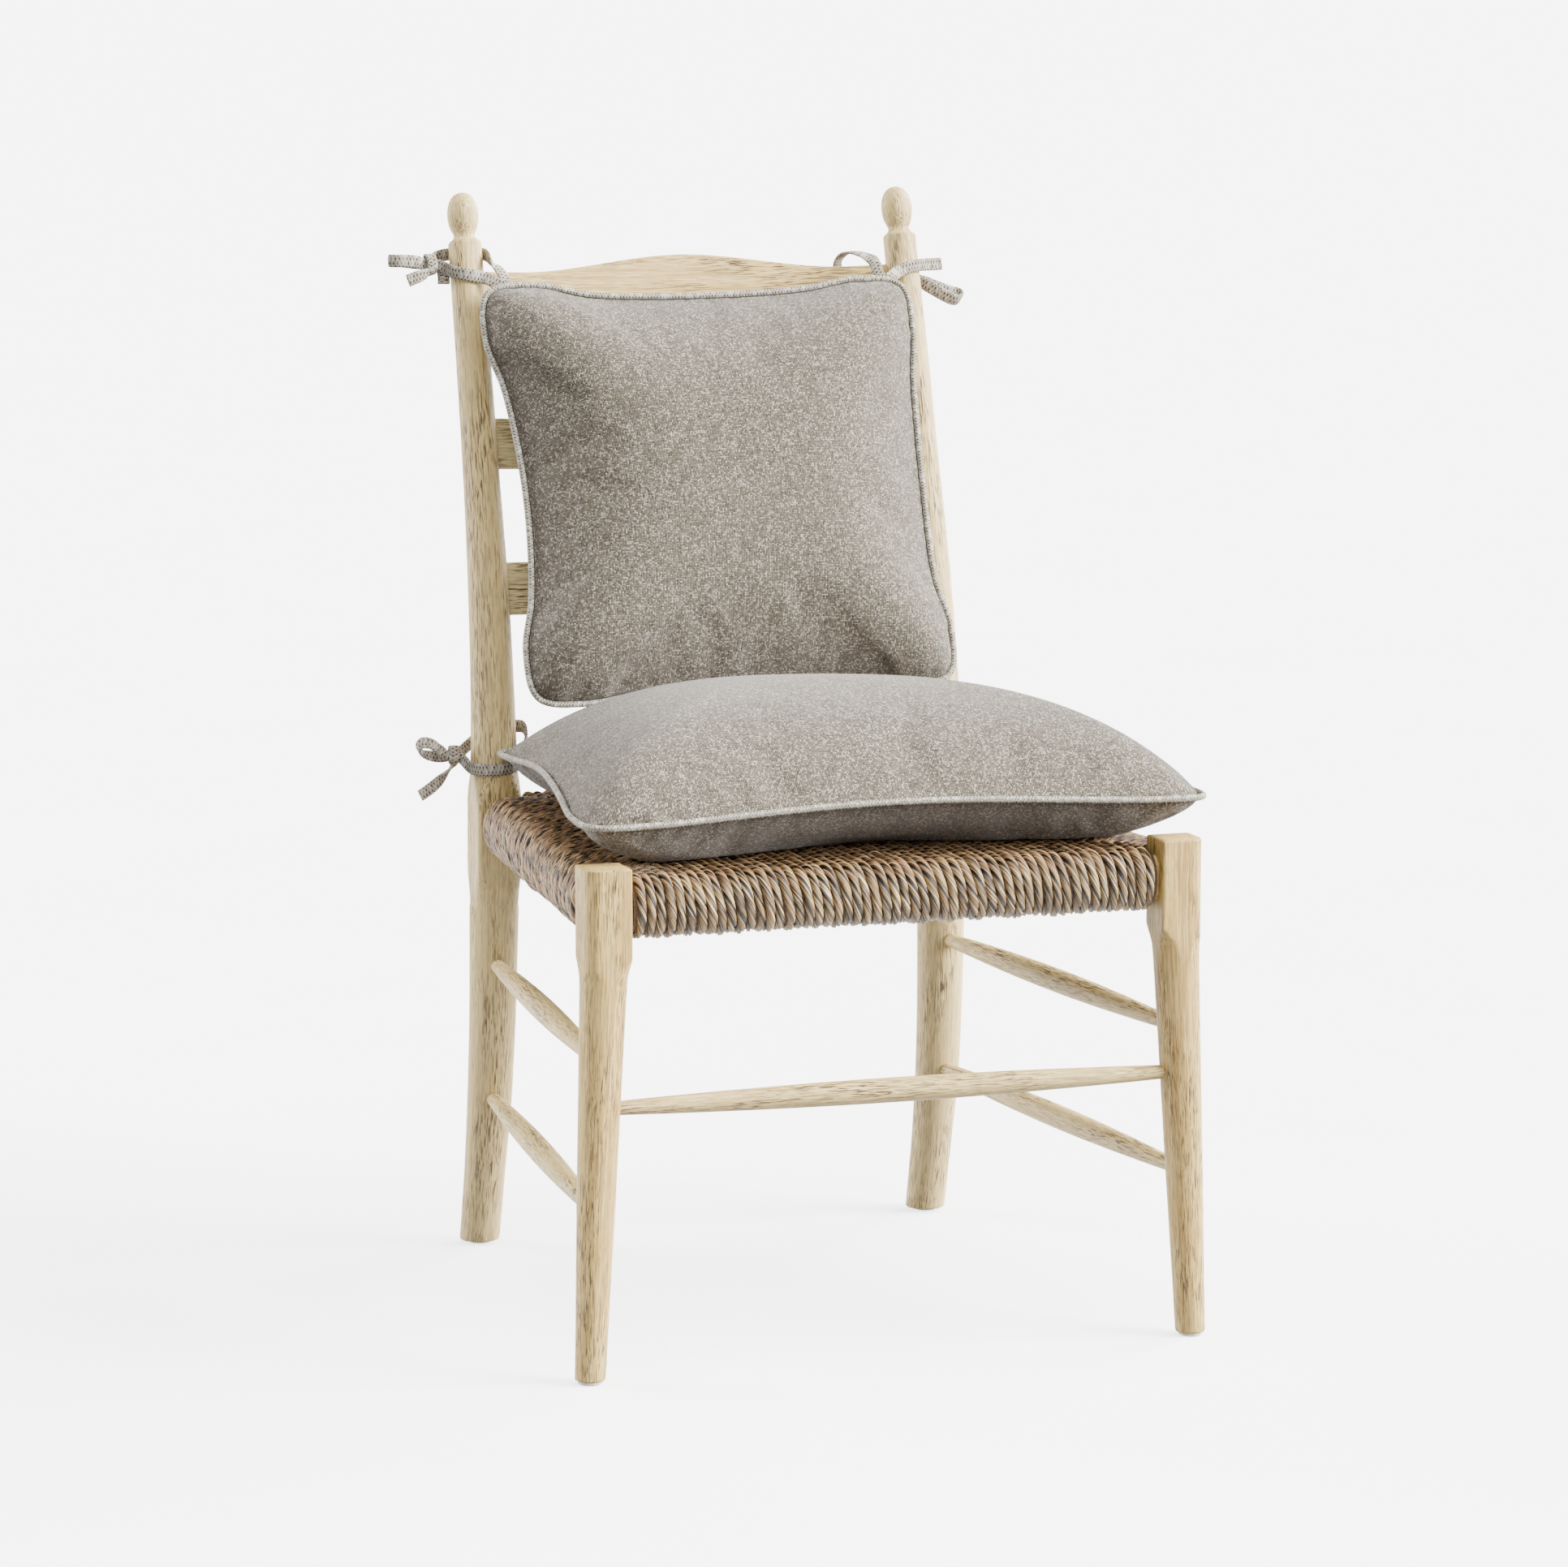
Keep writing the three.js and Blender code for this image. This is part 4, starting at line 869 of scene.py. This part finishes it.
def cushion_plan(c):
    """A grid of plan points that fills the outline, its rows closer near the seam."""
    outline = cushion_outline(c, -EDGE_BACK, OUTLINE_POINTS)
    reach = np.abs(c["corners"]).mean(axis=0)
    starts = [int(np.argmax(outline @ (np.sign(corner) / reach))) for corner in np.array(c["corners"])]
    ring = np.roll(outline, -starts[0], axis=0)
    cuts = [(k - starts[0]) % len(outline) for k in starts] + [len(outline)]
    ring = np.vstack([ring, ring[:1]])
    front, right, back, left = (ring[cuts[k]:cuts[k + 1] + 1] for k in range(4))
    line = np.linspace(-1, 1, CELLS + 1)
    t = (1 + np.sign(line) * (1 - (1 - np.abs(line)) ** EDGE_CROWDING)) / 2
    front, back = along_curve(front, t), along_curve(back[::-1], t)
    right, left = along_curve(right, t), along_curve(left[::-1], t)
    u, v = t[None, :, None], t[:, None, None]
    corners = (1 - v) * ((1 - u) * front[0] + u * front[-1]) + v * ((1 - u) * back[0] + u * back[-1])
    grid = (1 - v) * front[None] + v * back[None] + (1 - u) * left[:, None] + u * right[:, None] - corners
    return grid, outline


def edge_share(grid, outline):
    """How far out each plan point lies, from 0 in the middle to 1 at the seam."""
    angle = np.arctan2(outline[:, 1], outline[:, 0])
    order = np.argsort(angle)
    radius = np.hypot(*outline.T)[order]
    share = np.hypot(grid[..., 0], grid[..., 1]) / np.interp(
        np.arctan2(grid[..., 1], grid[..., 0]), angle[order], radius, period=2 * math.pi)
    share[0], share[-1], share[:, 0], share[:, -1] = 1, 1, 1, 1
    return np.minimum(share, 1)


def seam_height(c, x, y):
    """How far the seam rises above the cushion's middle plane, most beside each side's middle."""
    low, high = np.min(c["corners"], axis=0), np.max(c["corners"], axis=0)
    u = np.clip((2 * x - low[0] - high[0]) / (high[0] - low[0]), -1, 1)
    v = np.clip((2 * y - low[1] - high[1]) / (high[1] - low[1]), -1, 1)
    front, right, back, left = c["lifts"]
    ends = (front * np.clip(-v, 0, 1) ** 4 + back * np.clip(v, 0, 1) ** 4) * np.cos(u * math.pi / 2) ** 2
    sides = (right * np.clip(u, 0, 1) ** 4 + left * np.clip(-u, 0, 1) ** 4) * np.cos(v * math.pi / 2) ** 2
    return ends + sides


def cloth_lengths(p):
    """Distances along the cloth from its middle lines, for a grid of points."""
    def run(points):
        d = np.linalg.norm(np.diff(points, axis=1), axis=2)
        s = np.concatenate([np.zeros((len(points), 1)), np.cumsum(d, axis=1)], axis=1)
        return s - s[:, s.shape[1] // 2][:, None]

    return run(p), run(p.transpose(1, 0, 2)).T


def cover_shape(c):
    """The cover before it is filled: its points, the top's and the underside's grids of indices into
    them, and which points lie on the seam."""
    grid, outline = cushion_plan(c)
    share = edge_share(grid, outline)
    inner = np.maximum(share, 1e-6)
    seam = seam_height(c, grid[..., 0] / inner, grid[..., 1] / inner) * share ** 2
    slope = 1 + grid @ (np.array(c["tilt"]) / c["corners"][2])
    top = np.dstack([grid, seam + crown(share, c["crown"]) * c["up"] * slope])
    down = np.minimum(crown(share, UNDER_CROWN) * c["down"] * UNDER_FULL, c["flat_down"])
    under = np.dstack([grid, seam - down])
    side, within = CELLS + 1, CELLS - 1
    upper = np.arange(side * side).reshape(side, side)
    lower = upper.copy()
    lower[1:-1, 1:-1] = side * side + np.arange(within * within).reshape(within, within)
    points = np.vstack([top.reshape(-1, 3), under[1:-1, 1:-1].reshape(-1, 3)])
    on_seam = np.concatenate([share.ravel() >= 1, np.zeros(within * within, bool)])
    return points, upper, lower, on_seam


def quads(k):
    return np.stack([k[:-1, :-1], k[:-1, 1:], k[1:, 1:], k[1:, :-1]], axis=-1).reshape(-1, 4)


def build_cushion(c):
    points, upper, lower, on_seam = cover_shape(c)
    faces = np.vstack([quads(upper), quads(lower)[:, ::-1]]).tolist()
    points = inflated(points, faces, on_seam, c)
    cloth = np.zeros((len(points), 3))
    for index, start in ((lower, UNDERSIDE), (upper, 0)):
        across, along = cloth_lengths(points[index])
        cloth[index] = np.dstack([across + start, along, across * 0])
    obj = add_piece(c["name"] + "_cover", lean_and_place(c, points), faces, LINEN, c["name"],
                    {"cloth": cloth * MM})
    build_piping(c)


CLOTH_SETTINGS = dict(
    quality=6, mass=0.25, tension_stiffness=20, compression_stiffness=20, bending_stiffness=0.6,
    use_pressure=True, vertex_group_mass="seam",
)


def inflated(points, faces, pinned, c):
    """The cover blown up as cloth, its seam held still, its movement capped."""
    mesh = new_mesh("cloth_try", points * MM, faces)
    obj = new_object("cloth_try", mesh)
    group = obj.vertex_groups.new(name="seam")
    group.add([int(k) for k in np.nonzero(pinned)[0]], 1.0, "REPLACE")
    modifier = obj.modifiers.new("cloth", "CLOTH")
    settings = modifier.settings
    for key, value in CLOTH_SETTINGS.items():
        setattr(settings, key, value)
    settings.uniform_pressure_force = c["pressure"]
    settings.shrink_min = c["shrink"]
    settings.effector_weights.gravity = 0
    modifier.collision_settings.use_collision = False
    scene = bpy.context.scene
    for frame_number in range(1, 21):
        scene.frame_set(frame_number)
    shaped = obj.evaluated_get(bpy.context.evaluated_depsgraph_get()).data
    moved = np.empty(len(points) * 3)
    shaped.vertices.foreach_get("co", moved)
    moved = moved.reshape(-1, 3) / MM - points
    scene.frame_set(1)
    bpy.data.objects.remove(obj)
    bpy.data.meshes.remove(mesh)
    size = np.linalg.norm(moved, axis=1)
    limit = c["puff_limit"]
    moved *= (limit * np.tanh(size / limit) / np.maximum(size, 1e-9))[:, None]
    moved[pinned] = 0
    out = points + moved
    out[:, 2] = np.maximum(out[:, 2], -c["flat_down"])
    return out


def build_piping(c):
    """The covered cord in the seam, round the whole edge."""
    line = cushion_outline(c, PIPING_R + SEAM_CREASE - EDGE_BACK, PIPING_RINGS)
    rise = seam_height(c, line[:, 0], line[:, 1])
    out = loop_normals(line)
    turn = full_turn(PIPING_SIDES)
    flat = line[:, None] + out[:, None] * (PIPING_R * np.cos(turn))[None, :, None]
    height = rise[:, None] + PIPING_R * np.sin(turn)[None]
    vertices = np.dstack([flat, height]).reshape(-1, 3)
    faces = flipped(ring_faces(PIPING_RINGS, PIPING_SIDES, closed=True))
    strand = tube_strand(distance_along(line), PIPING_SIDES)
    add_piece(c["name"] + "_piping_cord", lean_and_place(c, vertices), faces, PIPING,
              c["name"] + "_piping", {"strand": strand})
    build_flange(c, line, rise, out)


def build_flange(c, line, rise, out):
    """The piping's flat edge, sewn between the covers, which closes the crease beside the cord; its dark
    colour is painted shade for the crease's dark line.
    """
    edges = [
        (-FLANGE_DEEP, -FLANGE_HALF), (-FLANGE_NEAR, -FLANGE_HALF),
        (-FLANGE_NEAR, FLANGE_HALF), (-FLANGE_DEEP, FLANGE_HALF),
    ]
    rings = [np.column_stack([line + out * depth, rise + height]) for depth, height in edges]
    vertices = np.stack(rings, axis=1).reshape(-1, 3)
    faces = ring_faces(len(line), len(edges), closed=True)
    add_piece(c["name"] + "_piping_flange", lean_and_place(c, vertices), faces, FLANGE,
              c["name"] + "_piping", smooth=False)


# ---- ties
TIE_W, TIE_T = 12.0, 3.0
TIE_RINGS, TIE_SIDES = 150, 24
TIE_CORNER = 0.75  # how square the braid's section is: 1 is an ellipse, less is squarer
KNOT_PINCH, KNOT_REACH = 0.25, 10.0


def around(degrees, radius, z):
    a = math.radians(degrees)
    c = post_axis(z)[0]
    facing = (math.sin(a), -math.cos(a), 0)
    return (c[0] + radius * facing[0], c[1] + radius * facing[1], z), facing


def beside(u, v, z, facing, reference):
    c = post_axis(reference)[0]
    return (c[0] + u, c[1] + v, z), facing


def strap_route(rows, reference):
    """A row of four is outwards, backwards, height and the way the flat face looks, measured from the
    post's centre line at the reference height. A row of three is degrees round the post from its
    front towards the outside, radius and height."""
    return [around(*row) if len(row) == 3 else beside(*row, reference) for row in rows]


SEAT_BOW = dict(
    reference=476, knot=(37, 6, 477.5),
    loop=[
        (-27, -12, 475, (-0.9, -0.4, 0)), (-40, 26.2, 470.5), (-12, 25.9, 468), (15, 25.9, 467.5),
        (45, 25.9, 467), (75, 25.9, 468), (28.6, 1, 473, (0.85, -0.5, 0.1)),
        (33, 4.2, 477.4, (0, -1, 0)), (45, 4.4, 478.3, (0, -1, 0.1)),
        (52.5, 3.4, 485, (-0.15, -0.8, 0.6)), (60, 2, 490.5, (0, -0.75, 0.65)),
        (68, 4, 491.5, (0.6, -0.6, 0.5)), (71.5, 7, 487, (1, -0.1, 0)),
        (68, 10, 481.5, (0.5, 0.4, -0.75)), (58, 10, 478, (0, 0.75, -0.65)),
        (47, 9, 477, (0, 0.95, -0.3)), (41, 7.8, 477.5, (0, 1, 0)), (33, 7.8, 477.5, (0, 1, 0)),
    ],
    tail=[
        (-27, -11, 488, (-0.95, -0.3, 0)), (-30, -6, 496, (-1, -0.2, 0)),
        (-29.5, 2, 502.5, (-1, 0.1, 0)), (-120, 25.5, 502), (-150, 24.4, 499), (-185, 24.4, 496),
        (-215, 25, 489), (28, 15, 480, (0.4, 0.9, 0)), (36, 11.5, 474.5, (0, 0.94, -0.34)),
        (36.5, 11.3, 481.3, (0, 0.91, 0.42)), (37, 8, 485.9, (0, 0.34, 0.94)),
        (37.5, 4.2, 485.9, (0, -0.34, 0.94)), (38, 0.9, 481.3, (0, -0.91, 0.42)),
        (38.5, 0.7, 474.5, (0, -0.94, -0.34)), (39.5, 3.2, 469.8, (0, -0.5, -0.87)),
        (45, 0, 463.5, (0, -0.5, -0.8)), (54, -3, 456, (0.3, -0.75, -0.55)),
        (63, -5, 449.5, (0.4, -0.8, -0.4)), (73.5, -7, 443.4, (0.4, -0.8, -0.4)),
    ],
)
BACK_LEFT_BOW = dict(
    reference=925, knot=(33, 6, 932.5),
    loop=[
        (-31, -33.5, 912.5, (-0.25, -0.95, 0)), (-22, -29.5, 915.6, (-0.4, -0.9, 0)),
        (-11.4, -21.5, 920.5, (-0.35, -0.93, 0)), (-5, 20, 922.5), (25, 19.8, 924.5), (55, 19.8, 926),
        (80, 20, 928.5), (23, 1.5, 930.5, (0.85, -0.5, 0.1)), (27.5, 4.2, 932.5, (0, -1, 0)),
        (40, 4.6, 933, (0, -1, 0)), (48.5, 2.2, 935.5, (-0.1, -1, 0)), (60, 0.5, 936.5, (0, -1, 0)),
        (69, 2.5, 936.5, (0.5, -0.85, 0)), (73.5, 7, 936.5, (1, 0, 0)),
        (69, 11.5, 936.3, (0.5, 0.85, 0)), (58, 13, 935.5, (0, 1, 0)), (44, 9.5, 933.5, (-0.1, 1, 0)),
        (35, 7.9, 932, (0, 1, 0)), (27.5, 8.2, 931.5, (0, 1, 0)), (22.5, 8.6, 928, (0, 1, 0)),
        (20.5, 8.8, 921, (0, 1, 0)), (20.5, 8.5, 913.5, (0, 1, 0)),
    ],
    tail=[
        (-31, -27.5, 917, (-0.2, -0.97, 0.1)), (-27, -22.5, 926, (-0.5, -0.85, 0.1)),
        (-20.5, -15.5, 934.5, (-0.8, -0.6, 0)), (-75, 20.6, 939.5), (-110, 20, 941),
        (-150, 19.8, 941.5), (-185, 19.8, 941.5), (-215, 20, 941), (20, 17, 940.5, (0.45, 0.85, 0.2)),
        (28, 15, 939, (0.2, 0.9, 0.4)), (33.5, 10.5, 938.2, (0, 0.77, 0.64)),
        (35, 7.6, 941.1, (0, 0.26, 0.97)), (34.5, 4.2, 940.9, (0, -0.34, 0.94)),
        (33.5, 0.9, 936.3, (0, -0.91, 0.42)), (33, 0.7, 929.5, (0, -0.94, -0.34)),
        (34, 3.2, 924.8, (0, -0.5, -0.87)), (38, -1, 924.5, (0.1, -0.85, -0.5)),
        (47, -5, 922.5, (0.2, -0.95, -0.2)), (59, -6, 918.2, (0.25, -0.95, -0.1)),
    ],
)
BACK_RIGHT_BOW = dict(
    reference=925, knot=(-35, -28, 915),
    loop=[
        (-31.4, -32.6, 912, (-0.3, -0.9, 0.2)), (-36, -31, 921, (-0.3, -0.9, 0.3)),
        (-38, -26, 929.5, (-0.4, -0.7, 0.6)), (-42, -18, 934, (-0.2, -0.3, 0.95)),
        (-47, -8, 936.4, (-0.1, -0.1, 1)), (-52, 0, 937.1, (0, 0, 1)), (-57, 9, 935, (-0.2, 0.4, 0.9)),
        (-60, 18, 926, (-0.5, 0.8, 0.3)), (-56, 22, 914, (-0.2, 1, 0)), (-40, 22, 909, (0, 1, 0)),
        (-15, 19.5, 909, (0, 1, 0)), (5, 18, 910, (0.1, 1, 0)), (14.3, 17, 911, (0.4, 0.9, 0)),
        (21.3, 13.5, 908.3, (0.4, 0.9, 0.1)), (36.9, 6, 898.3, (0.4, 0.9, 0.2)),
        (53.8, 2, 889.6, (0.1, 0.9, 0.4)), (61.7, 6, 889.8, (-0.8, 0.3, 0.4)),
        (63.5, 10, 893.5, (-1, -0.2, 0.3)), (51.3, 14, 897.6, (-0.3, -0.9, 0.2)),
        (32, 18.5, 905.3, (-0.2, -0.95, 0)), (26, 20.5, 907.5, (-0.2, -0.95, 0)),
    ],
    tail=[
        (-24, -27.5, 890, (-0.1, -1, 0)), (-25.5, -29.5, 902, (-0.1, -1, 0)),
        (-25.5, -31, 910, (-0.1, -0.95, 0.2)), (-18.7, -28, 916.2, (-0.3, -0.95, 0.1)),
        (-9.8, -22, 920, (-0.3, -0.95, 0)), (0, 20, 923.3), (25, 20, 924.5),
        (19, -13, 925, (0.25, -0.95, 0)), (31, -10, 925, (0.2, -1, 0.1)),
        (37, -9.5, 925.5, (0.2, -1, 0.1)),
    ],
)
TIES = dict(
    seat_tie_left=SEAT_BOW, seat_tie_right=SEAT_BOW,
    back_tie_left=BACK_LEFT_BOW, back_tie_right=BACK_RIGHT_BOW,
)


def rounded_power(values):
    return np.sign(values) * np.abs(values) ** TIE_CORNER


def build_strap(name, route, knot, side, node):
    """A flat tubular braid swept along its route, its flat face turned as the route says."""
    mirror = np.array([side, 1, 1])
    rows = np.array([(*place, *facing) for place, facing in route], float)
    line = smooth_curve(rows[:, :3], TIE_RINGS)
    chord = distance_along(rows[:, :3])
    facing = at_distances(rows[:, 3:], chord, np.linspace(0, chord[-1], TIE_RINGS))
    t = unit(np.gradient(line, axis=0))
    facing = unit(facing - t * (facing * t).sum(1)[:, None])
    across = np.cross(facing, t)
    turn = full_turn(TIE_SIDES)
    w, h = rounded_power(np.cos(turn)) * TIE_W / 2, rounded_power(np.sin(turn)) * TIE_T / 2
    pinch = 1 - KNOT_PINCH * np.exp(-(np.linalg.norm(line - knot, axis=1) / KNOT_REACH) ** 2)
    wide = (pinch[:, None] * w[None])[..., None]
    vertices = line[:, None] + across[:, None] * wide + facing[:, None] * h[None, :, None]
    faces = ring_faces(TIE_RINGS, TIE_SIDES)
    if side < 0:
        faces = flipped(faces)
    strand = tube_strand(distance_along(line), TIE_SIDES)
    obj = add_piece(name, placed(vertices.reshape(-1, 3) * mirror), faces, BRAID, node,
                    {"strand": strand})


def build_ties():
    for name, bow in TIES.items():
        side = -1 if name.endswith("left") else 1
        knot = beside(*bow["knot"], (0, 0, 1), bow["reference"])[0]
        for part in ("loop", "tail"):
            route = strap_route(bow[part], bow["reference"])
            build_strap(f"{name}_{part}_strap", route, knot, side, f"{name}_{part}")


# ---- camera, lights, floor
CAMERA_AT = (-1.6231 + SHIFT[0] * MM, -4.8601 + SHIFT[1] * MM, 1.2299)
CAMERA_AZ, CAMERA_EL = math.radians(-18.35), math.radians(8.41)
LENS_MM = 130.06


def build_camera():
    data = bpy.data.cameras.new("camera")
    data.lens = LENS_MM
    data.sensor_width = 36
    data.clip_end = 400
    camera = new_object("camera", data)
    camera.location = CAMERA_AT
    level = math.cos(CAMERA_EL)
    forward = (-math.sin(CAMERA_AZ) * level, math.cos(CAMERA_AZ) * level, -math.sin(CAMERA_EL))
    camera.rotation_euler = Vector(forward).to_track_quat("-Z", "Y").to_euler()
    bpy.context.scene.camera = camera


WORLD_LIGHT = 0.18
SUNS = {  # where each comes from, its strength, and the angle that it fills, in degrees
    "key_right": ((0.78, -0.44, 0.45), 17.0, 40),
    "back_right": ((0.86, 0.36, 0.36), 8.0, 40),
    "rim_left": ((-0.8, 0.56, 0.3), 6.0, 30),
    "fill_front": ((-0.42, -0.9, 0.3), 1.6, 60),
    "top": ((0.0, -0.2, 1.0), 3.7, 60),
}
FLOOR_HALF, FLOOR_Z = 150.0, -0.0006


def build_lights():
    world = bpy.data.worlds.new("studio")
    world.use_nodes = True
    background = world.node_tree.nodes["Background"]
    background.inputs["Color"].default_value = (1, 1, 1, 1)
    background.inputs["Strength"].default_value = WORLD_LIGHT
    bpy.context.scene.world = world
    for name, (direction, strength, softness) in SUNS.items():
        data = bpy.data.lights.new(name, "SUN")
        data.energy = strength
        data.angle = math.radians(softness)
        light = new_object(name, data)
        light.rotation_euler = (-Vector(direction)).to_track_quat("-Z", "Y").to_euler()


def build_floor():
    square = ((-1, -1), (1, -1), (1, 1), (-1, 1))
    corners = [(x * FLOOR_HALF, y * FLOOR_HALF, FLOOR_Z) for x, y in square]
    floor = new_object("floor", new_mesh("floor", corners, [(0, 1, 2, 3)]))
    floor.data.materials.append(FLOOR)
    floor.visible_diffuse = False  # a white floor would fill every shadow on the chair


def dress_nodes():
    """The CAD pieces that are shown as they are: the rails inside the rush, and the glides."""
    for name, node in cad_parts.items():
        if name.startswith(("seat_rail", "glide")):
            material = NYLON if name.startswith("glide") else OAK
            for place in node.material_slots:
                place.material = material


build_camera()
build_lights()
build_floor()
build_ties()
dress_nodes()
for index, (side, word) in enumerate(SIDES):
    build_front_leg(side, word, 1 + index)
    build_back_post(side, word, 3 + index)
build_stretchers()
build_back_rails()
build_rush()
build_cushion(SEAT_CUSHION)
build_cushion(BACK_CUSHION)
